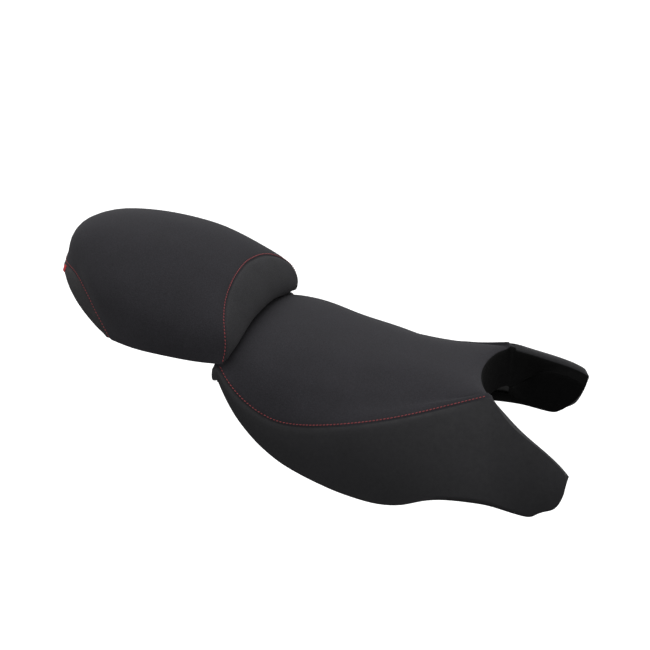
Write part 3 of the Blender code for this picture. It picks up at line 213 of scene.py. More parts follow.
# the passenger seat, where the photograph asks for more than the CAD has
REAR_SEAM_DROP = 1.8        # how far the rear seam's middle lies from the CAD's, in columns
FRONT_SEAM_SHIFT = (0.45, 4.6)      # and the front seam: everywhere, and more at the lower edge
TAIL_RISE = 0.0090          # the tail's upper edge is fuller than the CAD's foam
EDGE_RISE = 0.0022          # its lower edge is a little higher
TAIL_TUCK = 0.0095          # and its lower part is drawn in
TAG_SHARE = 0.33            # how far the tag is from the middle towards the lower edge
TAG_BELOW = 0.0065          # and its middle's distance from the rear seam
TAG_WIDTH = 0.0120
TAG_HEIGHT = 0.0090
TAG_THICKNESS = 0.00035
TAG_CELLS = 10


# ---- curves and grids
def natural(points, step, at):
    """Natural cubic spline through points with given knot steps, at places in point numbers."""
    count = len(points)
    flat = points.reshape(count, -1)
    system = np.eye(count)
    right = np.zeros_like(flat)
    for i in range(1, count - 1):
        a, b = step[i - 1], step[i]
        system[i, i - 1:i + 2] = (a, 2 * (a + b), b)
        right[i] = 6 * ((flat[i + 1] - flat[i]) / b - (flat[i] - flat[i - 1]) / a)
    bend = np.linalg.solve(system, right)
    at = np.asarray(at, float)
    low = np.clip(np.floor(at).astype(int), 0, count - 2)
    u = (at - low)[:, None]
    w = 1.0 - u
    size = step[low][:, None] ** 2
    made = (w * flat[low] + u * flat[low + 1]
            + size * ((w ** 3 - w) * bend[low] + (u ** 3 - u) * bend[low + 1]) / 6.0)
    return made.reshape((len(at),) + points.shape[1:])


def spline(points, at):
    """A spline whose knots are evenly spaced, as in part.py."""
    points = np.asarray(points, float)
    return natural(points, np.ones(len(points) - 1), at)


def knotted(points, at):
    """A spline whose knot spacing follows the points' distances."""
    points = np.asarray(points, float)
    gaps = np.linalg.norm(np.diff(points, axis=0).reshape(len(points) - 1, -1, 3), axis=2)
    return natural(points, np.sqrt(np.maximum(gaps.mean(1), 1e-5)), at)


def lengths_to(line):
    """How far along a line each of its points is."""
    return np.append(0.0, np.cumsum(np.linalg.norm(np.diff(line, axis=0), axis=1)))


def sample(values, lengths, at):
    """Values that are given at some lengths, at other lengths."""
    return np.stack([np.interp(at, lengths, column) for column in values.T], axis=-1)


def sheet(rails, across, along):
    lines = np.stack([spline(rail, along) for rail in rails], axis=0)
    flat = lines.reshape(len(rails), -1)
    return spline(flat, across).reshape(len(across), len(along), 3)


def steps(last, count):
    return np.linspace(0.0, last, count + 1)


def unit(vectors):
    return vectors / np.maximum(np.linalg.norm(vectors, axis=-1, keepdims=True), 1e-12)


def places(last, fine, seams=()):
    """Places along a grid: fine cells in each coarse one, and closer lines beside each seam."""
    made = set(np.round(steps(last, last * fine), 6))
    for seam in seams:
        for share in NEAR_SEAM:
            for at in (seam - share, seam + share):
                if 0 <= at <= last:
                    made.add(round(at, 6))
    return np.array(sorted(made))


def refine(grid, rows, columns):
    along = knotted(grid.transpose(1, 0, 2), columns).transpose(1, 0, 2)
    return knotted(along, rows)


def mirrored(grid):
    """A left half whose first row is on the middle plane, with its right half before it."""
    return np.concatenate([grid[:0:-1] * FLIP_Y, grid], axis=0)


def shared_normals(*grids, sharpest=0.6):
    """Offset directions at the points of grids that meet, longer where faces meet at an angle."""
    met = {}
    for grid in grids:
        faces = unit(np.cross(grid[1:, 1:] - grid[:-1, :-1], grid[1:, :-1] - grid[:-1, 1:]))
        for i, j in np.ndindex(faces.shape[:2]):
            for place in (grid[i, j], grid[i, j + 1], grid[i + 1, j], grid[i + 1, j + 1]):
                key = tuple(np.round(place, 6) + 0.0)
                met.setdefault(key, []).append(faces[i, j])
                if abs(place[1]) < 1e-6:
                    met[key].append(faces[i, j] * FLIP_Y)
    found = {}
    for key, around in met.items():
        mean = unit(np.sum(around, axis=0))
        found[key] = mean / max(min(float(mean @ face) for face in around), sharpest)
    return [np.array([[found[tuple(np.round(p, 6) + 0.0)] for p in row] for row in grid])
            for grid in grids]


# ---- the two seats' layers
def into_cutout(rim):
    run = np.gradient(rim, axis=0)
    turn = unit(np.stack([run[:, 1], -run[:, 0], np.zeros(len(run))], axis=1))
    turn[0] = (1.0, 0.0, 0.0)
    turn[-3:] = turn[-4]
    for _ in range(8):
        turn[1:-1] = unit(turn[:-2] + turn[1:-1] * 2 + turn[2:])
    return turn


def rider_skin():
    rails = {name: np.array(rail) + DATUM for name, rail in RIDER_RAILS.items()}
    horn = {name: np.array(rail) + DATUM for name, rail in HORN_RAILS.items()}
    across = np.concatenate([steps(4, TOP_ROWS), 4 + steps(2, SIDE_ROWS)[1:]])
    body = sheet([rails[name] for name in rails], across, steps(LAST, BODY))
    top = body[:TOP_ROWS + 1]
    along = LAST + steps(HORN_STATIONS, HORN)[1:]
    rim, middle, low = [spline(np.vstack([rails[one], horn[other]]), along)
                        for one, other in (("seam", "rim"), ("side", "side"), ("low", "low"))]
    inward = into_cutout(np.vstack([top[:, -1], rim]))
    inside = rim + inward[TOP_ROWS + 1:] * ROLL + np.array((0, 0, -ROLL * 0.5))
    columns = np.stack([inside, rim, middle, low], axis=0)
    rows = spline(columns.reshape(4, -1), 1 + steps(2, SIDE_ROWS))
    side = np.concatenate([body[TOP_ROWS:], rows.reshape(SIDE_ROWS + 1, HORN, 3)], axis=1)
    return top, side, inward


def between(grid, row, column):
    i = min(int(row), max(grid.shape[0] - 2, 0))
    j = min(int(column), grid.shape[1] - 2)
    u = row - i
    v = column - j
    lower = grid[min(i + 1, grid.shape[0] - 1)]
    return ((grid[i, j] * (1 - v) + grid[i, j + 1] * v) * (1 - u)
            + (lower[j] * (1 - v) + lower[j + 1] * v) * u)


def spread(line, like):
    """The line with its points spread out as those of another line are."""
    length = lengths_to(line)
    share = lengths_to(like)
    return sample(line, length, share / share[-1] * length[-1])


def rider_base(top, side, inward):
    rows = []
    for rail, width in (("centre", 0.0), ("inner", 0.040), ("shoulder", 0.085)):
        rows.append([(x, width, z) for (x, y, h), z in zip(RIDER_RAILS[rail], PLATE_HEIGHTS)])
    rows.append(KNEE)
    plate = sheet([np.array(row) + DATUM for row in rows], steps(3, TOP_ROWS), steps(LAST, BODY))
    plate[:, 0, 0] -= ROLL
    wall = top[:, -1, :2] + inward[:TOP_ROWS + 1, :2] * ROLL
    plate[:, -1, :2] = spread(wall, plate[:, -2, :2])
    normals = shared_normals(top, side)[1]
    low = side[-1] - normals[-1] * (SKIN_TO_FOAM + EDGE_FOAM + CLEAR)
    deep = SKIN_TO_FOAM + HORN_FOAM + CLEAR
    wing_face = side - normals * deep
    half = SIDE_ROWS // 2
    skirt = np.zeros_like(side)
    for j in range(side.shape[1]):
        if j <= BODY:
            bulge = side[half, j] - normals[half, j] * deep
            straight = (plate[-1, j] + low[j]) / 2
            share = min(max((plate[-1, j, 2] - low[j, 2]) / 0.100, 0.0), 0.5)
            line = [plate[-1, j], bulge * share + straight * (1 - share), low[j]]
        else:
            start = WING_RISE[min(j - BODY, len(WING_RISE)) - 1]
            place = BODY + (j - BODY) * WING_REACH
            line = [between(wing_face, start, place),
                    between(wing_face, (start + half * 2) / 2, place),
                    between(low[None], 0, place)]
        skirt[:, j] = spline(line, steps(2, SIDE_ROWS))
    skirt[0, :BODY + 1] = plate[-1]
    return plate, skirt


def rolled(edge, out, base, reach):
    height = edge[:, 2:] - base[:, 2:]
    drop = np.clip(height * 0.5, 0.0005, ROLL) * np.array((0.0, 0.0, 1.0))
    first = edge + out * reach * 0.65 - drop * 0.25
    second = edge + out * reach - drop
    third = second.copy()
    third[:, 2] = np.minimum(base[:, 2] + LIFT, second[:, 2] - 0.0005)
    return first, second, third


class Rider:
    """All rows and columns of the rider seat's left half."""

    def __init__(self):
        self.top, self.side, self.inward = rider_skin()
        self.plate, self.skirt = rider_base(self.top, self.side, self.inward)
        normals = shared_normals(self.plate, self.skirt)
        self.top_lining = self.plate - normals[0] * PAN_TO_LINING
        self.side_lining = self.skirt - normals[1] * (PAN_TO_LINING + 0.0010)

    def folds(self):
        back = np.array((-1.0, 0.0, 0.0))
        reach = self.top[:, :1, 0] - self.plate[:, :1, 0]
        self.rear_top = rolled(self.top[:, 0], back, self.plate[:, 0], reach)
        reach = self.side[:, :1, 0] - self.skirt[:, :1, 0]
        self.rear_side = rolled(self.side[:, 0], back, self.skirt[:, 0], reach)
        for row in self.rear_side:
            row[-1] = self.side[-1, 0]
        inward = self.inward
        self.front_top = rolled(self.top[:, -1], inward[:TOP_ROWS + 1], self.plate[:, -1], ROLL)
        self.front_top[2][:, :2] = self.plate[:, -1, :2]
        level = self.side_lining[0, BODY:].copy()
        level[0] = self.plate[-1, -1]
        self.horn_roll = rolled(self.side[0, BODY:], inward[TOP_ROWS:], level, ROLL)
        self.horn_roll[2][1:] = (self.horn_roll[1][1:] + self.side_lining[0, BODY + 1:]) / 2
        outer = self.side[:, -1]
        run = unit(outer - self.side[:, -2])
        self.nose = (outer + self.side_lining[:, -1]) / 2 + run * ROLL * 0.35


class Passenger:
    """All rows and columns of the passenger seat's left half."""

    def __init__(self):
        count = len(PASSENGER_STATIONS) - 1
        rear, top, front = PASSENGER_COLUMNS
        along = np.concatenate([steps(REAR_SEAM, rear),
                                REAR_SEAM + steps(FRONT_SEAM - REAR_SEAM, top)[1:],
                                FRONT_SEAM + steps(count - FRONT_SEAM, front)[1:]])
        rails = (np.array(PASSENGER_STATIONS) + DATUM).transpose(1, 0, 2)
        self.skin = sheet(rails, steps(4, PASSENGER_ROWS), along)
        plate = spline([np.array((row[0], 0.0, row[1])) + DATUM for row in PASSENGER_PLATE], along)
        low = spline([np.array(row[2:]) + DATUM for row in PASSENGER_PLATE], along)
        rows = []
        for share in steps(1, PASSENGER_ROWS):
            turn = min(max((share - PLATE_SHARE) / (1 - PLATE_SHARE), 0.0), 1.0)
            turn = turn * turn * (3 - 2 * turn)
            row = plate.copy()
            row[:, 0] += (low[:, 0] - plate[:, 0]) * share ** 2
            row[:, 1] = low[:, 1] * share
            row[:, 2] += (low[:, 2] - plate[:, 2]) * turn
            rows.append(row)
        self.base = np.stack(rows, axis=0)
        self.lining = self.base - shared_normals(self.base)[0] * (PAN_TO_LINING + FOLD_SLACK)
        self.rear = rear
        self.front = rear + top


# ---- meshes
class Net:
    """Collects grids as quads, with points that coincide shared."""

    def __init__(self):
        self.points = []
        self.known = {}
        self.faces = []

    def point(self, place):
        key = tuple(int(round(v * 2e5)) for v in place)
        if key not in self.known:
            self.known[key] = len(self.points)
            self.points.append(tuple(place))
        return self.known[key]

    def patch(self, grid, flip=False):
        index = [[self.point(p) for p in row] for row in grid]
        for i in range(len(index) - 1):
            for j in range(len(index[0]) - 1):
                loop = [index[i][j], index[i][j + 1], index[i + 1][j + 1], index[i + 1][j]]
                self.face(loop[::-1] if flip else loop)

    def face(self, loop):
        clean = [v for v, before in zip(loop, loop[-1:] + loop[:-1]) if v != before]
        if len(set(clean)) >= 3 and len(set(clean)) == len(clean):
            self.faces.append(clean)

    def mesh(self, name):
        data = bpy.data.meshes.new(name)
        data.from_pydata(self.points, [], self.faces)
        data.validate()
        return data


def add_object(name, data, look, body=None, sharp=math.radians(50)):
    made = bpy.data.objects.new(name, data)
    bpy.context.scene.collection.objects.link(made)
    data.materials.append(look)
    data.shade_smooth()
    data.set_sharp_from_angle(angle=sharp)
    if body:
        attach(made, body)
    return made


def add_panel(name, net, look, body):
    """A panel of fabric, with its thickness inwards."""
    made = add_object(name, net.mesh(name), look, body)
    modifier = made.modifiers.new("thickness", "SOLIDIFY")
    modifier.thickness = COVER
    modifier.offset = -1.0
    modifier.use_even_offset = False
    return made


# ---- cloth
def swell(name, skins, closing, pins, cap):
    """How far each point of the skin grids moves as cloth under pressure, held under the cap.

    The closing grids and a face in each hole left make the cloth airtight, and stay pinned.
    """
    net = Net()
    for grid in skins:
        net.patch(grid)
    for grid in closing:
        net.patch(grid, flip=True)
    data = net.mesh(name)
    shape = bmesh.new()
    shape.from_mesh(data)
    bmesh.ops.holes_fill(shape, edges=shape.edges, sides=0)
    bmesh.ops.triangulate(shape, faces=[f for f in shape.faces if len(f.verts) > 4])
    shape.to_mesh(data)
    shape.free()
    made = bpy.data.objects.new(name, data)
    bpy.context.scene.collection.objects.link(made)
    group = made.vertex_groups.new(name="pins")
    held = set()
    for row in pins:
        held.update(net.point(p) for p in row)
    for grid in closing:
        held.update(net.point(p) for row in grid for p in row)
    group.add(sorted(held), 1.0, "REPLACE")
    cloth = made.modifiers.new("cloth", "CLOTH")
    for setting, value in CLOTH.items():
        setattr(cloth.settings, setting, value)
    cloth.settings.effector_weights.gravity = 0.0
    cloth.point_cache.frame_start = 1
    cloth.point_cache.frame_end = SIM_FRAMES
    for number in range(1, SIM_FRAMES + 1):
        bpy.context.scene.frame_set(number)
    graph = bpy.context.evaluated_depsgraph_get()
    result = made.evaluated_get(graph).to_mesh()
    rest = np.array(net.points)
    moved = np.zeros(len(result.vertices) * 3)
    result.vertices.foreach_get("co", moved)
    moved = moved.reshape(-1, 3)[:len(rest)] - rest
    bpy.data.objects.remove(made, do_unlink=True)
    bpy.context.scene.frame_set(1)
    length = np.linalg.norm(moved, axis=1, keepdims=True)
    moved *= cap * np.tanh(length / cap) / np.maximum(length, 1e-9)
    return [np.array([[moved[net.point(p)] for p in row] for row in grid]) for grid in skins]


def double(grid):
    """The grid with one more line between each two."""
    return refine(grid, steps(len(grid) - 1, (len(grid) - 1) * 2),
                  steps(len(grid[0]) - 1, (len(grid[0]) - 1) * 2))


def wrinkle(points, size, seed):
    """A smooth, shallow, wandering height for points, as worn-in fabric has."""
    waves = np.random.default_rng(seed)
    total = np.zeros(points.shape[:-1])
    for _ in range(7):
        direction = unit(waves.normal(size=3))
        total += np.sin(points @ direction * (2 * math.pi / size) * waves.uniform(0.6, 1.5)
                        + waves.uniform(0, 6.28))
    return total / 7


def grid_normals(grid):
    along = np.gradient(grid, axis=1)
    across = np.gradient(grid, axis=0)
    return unit(np.cross(along, across))


def distances(grid, axis, at):
    """Distance of each point from line number `at`, measured over the grid."""
    lengths = np.linalg.norm(np.diff(grid, axis=axis), axis=2)
    total = np.cumsum(lengths, axis=axis)
    zero = np.zeros_like(np.take(total, [0], axis=axis))
    total = np.concatenate([zero, total], axis=axis)
    return np.abs(total - np.take(total, [at], axis=axis))


def seamed(grid, axis, seams, stitched, seed, lean=None, fade=1.0):
    """The grid with its seams pulled in, puckers beside them, and shallow wrinkles.

    Beside a seam the pull leans to that seam's own direction, which both of its panels share.
    """
    normals = grid_normals(grid)
    height = WRINKLE * wrinkle(grid, WRINKLE_SIZE, seed)
    for at in seams:
        away = distances(grid, axis, at)
        near = np.exp(-(away / 0.004) ** 2)
        height = height * (1 - near)
        if lean is not None:
            normals = unit(normals * (1 - near[..., None]) + lean[at][None] * near[..., None])
        height -= GROOVE * fade * np.exp(-(away / GROOVE_WIDTH) ** 2)
        height += WELT * fade * np.exp(-((away - 0.007) / 0.004) ** 2)
        if at in stitched:
            along = distances(grid, 1 - axis, 0)
            wave = np.cos(along * (math.pi / STITCH_PITCH) + wrinkle(grid, 0.03, seed + 5) * 2)
            beside = np.exp(-away / PUCKER_REACH) * (1 - np.exp(-(away / 0.003) ** 2))
            height += PUCKER * fade * wave * beside
    return grid + normals * height[..., None]


def stitches(name, line, normals, body, look):
    """Separate stitches along a line that lies on the fabric."""
    length = lengths_to(line)
    count = int((length[-1] - 0.004) / STITCH_PITCH)
    start = (length[-1] - count * STITCH_PITCH) / 2
    shape = bmesh.new()
    for number in range(count):
        base = start + number * STITCH_PITCH + (STITCH_PITCH - STITCH_LENGTH) / 2
        loops = []
        for share, width, lift in STITCH_RINGS:
            at = base + share * STITCH_LENGTH
            run = unit(sample(line, length, at + 0.001) - sample(line, length, at - 0.001))
            beside = unit(np.cross(unit(sample(normals, length, at)), run))
            up = np.cross(run, beside)
            centre = (sample(line, length, at) + up * lift
                      + beside * (share - 0.5) * STITCH_SLANT)
            loop = []
            for corner in range(STITCH_SIDES):
                angle = corner * 2 * math.pi / STITCH_SIDES
                offset = (beside * math.cos(angle) + up * math.sin(angle)) * STITCH_RADIUS * width
                loop.append(shape.verts.new(centre + offset))
            loops.append(loop)
        for one, other in zip(loops, loops[1:]):
            for a in range(STITCH_SIDES):
                b = (a + 1) % STITCH_SIDES
                shape.faces.new((one[a], one[b], other[b], other[a]))
        shape.faces.new(loops[0][::-1])
        shape.faces.new(loops[-1])
    bmesh.ops.recalc_face_normals(shape, faces=shape.faces)
    data = bpy.data.meshes.new(name)
    shape.to_mesh(data)
    shape.free()
    return add_object(name, data, look, body, math.radians(80))


def line_at(grid, axis, seam, toward, distance):
    """The line on a grid at a distance from a seam line, on the side of line `toward`."""
    away = distances(grid, axis, seam)
    if axis == 0:
        grid, away = grid.transpose(1, 0, 2), away.T
    normals = grid_normals(grid)
    order = slice(seam, None) if toward > seam else slice(seam, None, -1)
    line = []
    up = []
    for points, far, normal in zip(grid, away, normals):
        points, far, normal = points[order], far[order], normal[order]
        line.append(sample(points, far, distance))
        up.append(sample(normal, far, distance))
    up = unit(np.array(up))
    if axis == 0:
        up = -up
    return np.array(line), up


# ---- materials
def grey(value, tint=(1.0, 1.0, 1.0)):
    return tuple(value * t for t in tint)


def set_stops(ramp, stops):
    while len(ramp.elements) < len(stops):
        ramp.elements.new(0.5)
    for element, (place, colour) in zip(ramp.elements, stops):
        element.position = place
        element.color = (*colour, 1.0)


class Look:
    """A material made of nodes over object coordinates."""

    def __init__(self, name, roughness, specular=0.5, metallic=0.0):
        self.material = bpy.data.materials.new(name)
        self.material.use_nodes = True
        self.tree = self.material.node_tree
        self.shader = self.tree.nodes["Principled BSDF"]
        self.shader.inputs["Roughness"].default_value = roughness
        self.shader.inputs["Specular IOR Level"].default_value = specular
        self.shader.inputs["Metallic"].default_value = metallic
        self.place = self.tree.nodes.new("ShaderNodeTexCoord").outputs["Object"]
        self.bump = None

    def node(self, kind, **numbers):
        made = self.tree.nodes.new(kind)
        for socket, number in numbers.items():
            made.inputs[socket.replace("_", " ")].default_value = number
        return made

    def link(self, a, b):
        self.tree.links.new(a, b)

    def noise(self, scale, detail=3.0, roughness=0.5, stretch=None):
        made = self.node("ShaderNodeTexNoise", Scale=scale, Detail=detail, Roughness=roughness)
        place = self.place
        if stretch:
            mapping = self.node("ShaderNodeMapping", Scale=stretch)
            self.link(place, mapping.inputs["Vector"])
            place = mapping.outputs["Vector"]
        self.link(place, made.inputs["Vector"])
        return made.outputs["Fac"]

    def cells(self, scale, feature="F1"):
        made = self.node("ShaderNodeTexVoronoi", Scale=scale)
        made.feature = feature
        self.link(self.place, made.inputs["Vector"])
        return made.outputs["Distance"]

    def ramp(self, value, stops):
        made = self.node("ShaderNodeValToRGB")
        set_stops(made.color_ramp, stops)
        self.link(value, made.inputs["Fac"])
        return made.outputs["Color"]

    def greys(self, value, low, high, dark, light, tint=(1.0, 1.0, 1.0)):
        return self.ramp(value, [(low, grey(dark, tint)), (high, grey(light, tint))])

    def mix(self, share, one, other, blend="MIX"):
        made = self.node("ShaderNodeMix")
        made.data_type = "RGBA"
        made.blend_type = blend
        for value, socket in ((share, made.inputs["Factor"]), (one, made.inputs["A"]),
                              (other, made.inputs["B"])):
            if isinstance(value, (int, float)):
                socket.default_value = value
            elif isinstance(value, tuple):
                socket.default_value = (*value, 1.0)
            else:
                self.link(value, socket)
        return made.outputs["Result"]

    def spread(self, value, low, high, out_low, out_high):
        made = self.node("ShaderNodeMapRange", From_Min=low, From_Max=high,
                         To_Min=out_low, To_Max=out_high)
        self.link(value, made.inputs["Value"])
        return made.outputs["Result"]

    def colour(self, value):
        self.link(value, self.shader.inputs["Base Color"])

    def roughness(self, value):
        self.link(value, self.shader.inputs["Roughness"])

    def raise_by(self, value, distance, strength=1.0):
        made = self.node("ShaderNodeBump", Strength=strength, Distance=distance)
        self.link(value, made.inputs["Height"])
        if self.bump is not None:
            self.link(self.bump, made.inputs["Normal"])
        self.bump = made.outputs["Normal"]
        self.link(self.bump, self.shader.inputs["Normal"])


def suede_look(name="charcoal_suede", level=0.0195, tint=(1.0, 0.965, 1.13)):
    look = Look(name, 0.95, 0.18)
    look.shader.inputs["Sheen Weight"].default_value = 0.03
    look.shader.inputs["Sheen Roughness"].default_value = 0.55
    look.shader.inputs["Sheen Tint"].default_value = (0.55, 0.55, 0.58, 1.0)
    nap = look.noise(2600.0, 2.0, 0.6)
    clouds = look.noise(26.0, 4.0, 0.6)
    speck = look.noise(900.0, 3.0, 0.65)
    base = look.greys(clouds, 0.30, 0.70, level * 0.88, level * 1.10, tint)
    grain = look.greys(speck, 0.32, 0.68, 0.66, 1.30)
    fine = look.greys(nap, 0.30, 0.70, 0.82, 1.16)
    look.colour(look.mix(1.0, look.mix(1.0, base, grain, "MULTIPLY"), fine, "MULTIPLY"))
    look.roughness(look.spread(clouds, 0.3, 0.7, 0.90, 0.99))
    look.raise_by(speck, 0.00022, 0.5)
    look.raise_by(nap, 0.00010, 0.5)
    return look.material


def vinyl_look(name="black_vinyl", level=0.0112, tint=(1.0, 0.985, 1.14), roughness=0.62):
    look = Look(name, roughness, 0.30)
    pores = look.cells(1500.0, "DISTANCE_TO_EDGE")
    creases = look.cells(420.0, "DISTANCE_TO_EDGE")
    clouds = look.noise(20.0, 4.0, 0.55)
    worn = look.noise(160.0, 5.0, 0.6)
    base = look.greys(clouds, 0.3, 0.7, level * 0.90, level * 1.12, tint)
    depth = look.greys(pores, 0.0, 0.18, 0.72, 1.05)
    look.colour(look.mix(1.0, base, depth, "MULTIPLY"))
    look.roughness(look.spread(worn, 0.3, 0.7, roughness - 0.06, roughness + 0.10))
    look.raise_by(look.spread(pores, 0.0, 0.22, 0.0, 1.0), 0.00012, 0.55)
    look.raise_by(look.spread(creases, 0.0, 0.10, 0.0, 1.0), 0.00008, 0.35)
    return look.material


def thread_look():
    look = Look("red_thread", 0.62, 0.35)
    fibres = look.noise(1800.0, 3.0, 0.6)
    age = look.noise(60.0, 3.0, 0.5)
    base = look.ramp(fibres, [(0.3, (0.14, 0.020, 0.024)), (0.7, (0.29, 0.048, 0.054))])
    tone = look.greys(age, 0.3, 0.7, 0.80, 1.10)
    look.colour(look.mix(1.0, base, tone, "MULTIPLY"))
    look.raise_by(fibres, 0.00008, 0.6)
    return look.material


def label_look():
    look = Look("red_label", 0.8, 0.25)
    weave = look.node("ShaderNodeTexWave", Scale=900.0)
    weave.wave_type = "BANDS"
    weave.bands_direction = "Z"
    look.link(look.place, weave.inputs["Vector"])
    cloth = weave.outputs["Fac"]
    look.colour(look.ramp(cloth, [(0.1, (0.26, 0.010, 0.014)), (0.9, (0.40, 0.020, 0.024))]))
    look.raise_by(cloth, 0.00006, 0.5)
    return look.material


def plastic_look():
    look = Look("pan_plastic", 0.55, 0.25)
    texture = look.noise(1100.0, 2.0, 0.5)
    flow = look.noise(14.0, 4.0, 0.6)
    dust = look.noise(90.0, 5.0, 0.65)
    base = look.greys(flow, 0.3, 0.7, 0.0080, 0.0115)
    scuffs = look.greys(dust, 0.55, 0.85, 0.0, 0.006)
    look.colour(look.mix(1.0, base, scuffs, "ADD"))
    look.roughness(look.spread(dust, 0.3, 0.7, 0.46, 0.66))
    look.raise_by(texture, 0.00012, 0.5)
    return look.material


def steel_look():
    look = Look("zinc_steel", 0.38, 0.5, 1.0)
    spangle = look.cells(260.0)
    haze = look.noise(120.0, 4.0, 0.6)
    brushed = look.noise(500.0, 3.0, 0.5, (1.0, 12.0, 12.0))
    base = look.ramp(spangle, [(0.1, (0.40, 0.41, 0.43)), (0.9, (0.55, 0.55, 0.54))])
    tarnish = look.ramp(haze, [(0.35, (1.0, 1.0, 1.0)), (0.8, (0.72, 0.70, 0.66))])
    look.colour(look.mix(1.0, base, tarnish, "MULTIPLY"))
    look.roughness(look.spread(haze, 0.3, 0.7, 0.28, 0.50))
    look.raise_by(brushed, 0.00004, 0.4)
    return look.material


def rubber_look():
    look = Look("bumper_rubber", 0.82, 0.3)
    powder = look.noise(300.0, 5.0, 0.65)
    look.colour(look.greys(powder, 0.3, 0.8, 0.012, 0.030))
    look.roughness(look.spread(powder, 0.3, 0.7, 0.74, 0.92))
    look.raise_by(powder, 0.00010, 0.4)
    return look.material


SUEDE = suede_look()
# A brighter copy of the suede for the passenger seat's front panel: painted light on that face.
LIT_FRONT_SUEDE = suede_look("charcoal_suede_front_painted_light", 0.0270, (1.0, 0.985, 1.06))
VINYL = vinyl_look()
REAR_VINYL = vinyl_look("black_vinyl_rear", 0.0175, (1.03, 0.97, 1.06), 0.70)
# A near-black, dull copy of the vinyl for the inner wall of the tank cut-out: painted shade of
# that recess, with its reflection turned down too.
SHADE_LINING = vinyl_look("black_lining_painted_shade", 0.0022, (1.0, 1.0, 1.0), 0.85)
SHADE_LINING.node_tree.nodes["Principled BSDF"].inputs["Specular IOR Level"].default_value = 0.08
THREAD = thread_look()
LABEL = label_look()
PLASTIC = plastic_look()
STEEL = steel_look()
RUBBER = rubber_look()


# ---- the rider seat
def swollen_rider(layers):
    """The top panel's and the left side panel's doubled grids, swollen alike on both sides."""
    top = double(mirrored(layers.top))
    side = double(layers.side)
    side[0, :top.shape[1]] = top[-1]
    right = side[:, ::-1] * FLIP_Y
    closing = [mirrored(layers.plate), layers.skirt, layers.skirt[:, ::-1] * FLIP_Y]
    pins = [edge for grid in (top, side, right)
            for edge in (grid[0], grid[-1], grid[:, 0], grid[:, -1])]
    moved = swell("rider_cloth", [top, side, right], closing, pins, SWELL_CAP)
    left = (moved[1] + moved[2][:, ::-1] * FLIP_Y) / 2
    even = (moved[0] + moved[0][::-1] * FLIP_Y) / 2
    return top + even, side + left


def round_noses(side):
    """Rounds the end of the horn, seen from the side."""
    run = unit(side[:, -1] - side[:, -2])
    share = np.linspace(0.0, 1.0, len(side))[:, None]
    bulge = NOSE_BULGE * np.sin(math.pi * share ** 0.6) * (1 - share ** 3)
    bulge -= NOSE_CORNER * (1 - share) ** 3
    for column, part in ((-1, 1.0), (-2, 0.62), (-3, 0.25)):
        side[:, column] += run * bulge * part
    return side


def round_rim_ends(loops):
    """Draws the inner lines of the rim back at the horns' ends, in a round end seen from above."""
    for end, step in ((0, 1), (-1, -1)):
        run = unit(loops[0, end] - loops[0, end + 2 * step])
        for line, back in RIM_BACK:
            for column in range(RIM_BACK_COLUMNS):
                share = (1 - column / RIM_BACK_COLUMNS) ** 2
                loops[line, end + step * column] -= run * back * share
    return loops


def rim_loops(layers, edge, row_at, horn_at):
    """Lines that follow the whole rim, right horn's end to left, from the edge inwards."""
    halves = [np.concatenate([front, horn[1:]], axis=0)
              for front, horn in zip(layers.front_top, layers.horn_roll)]
    halves.append(np.concatenate([layers.top_lining[:, -1], layers.side_lining[0, BODY + 1:]],
                                 axis=0))
    last = TOP_ROWS + HORN
    half_at = np.concatenate([row_at[row_at >= TOP_ROWS] - TOP_ROWS, TOP_ROWS + horn_at[1:]])
    at = np.concatenate([-half_at[:0:-1], half_at]) + last
    made = [edge]
    for half in halves:
        made.append(knotted(mirrored(half), at))
    return np.stack(made, axis=0)


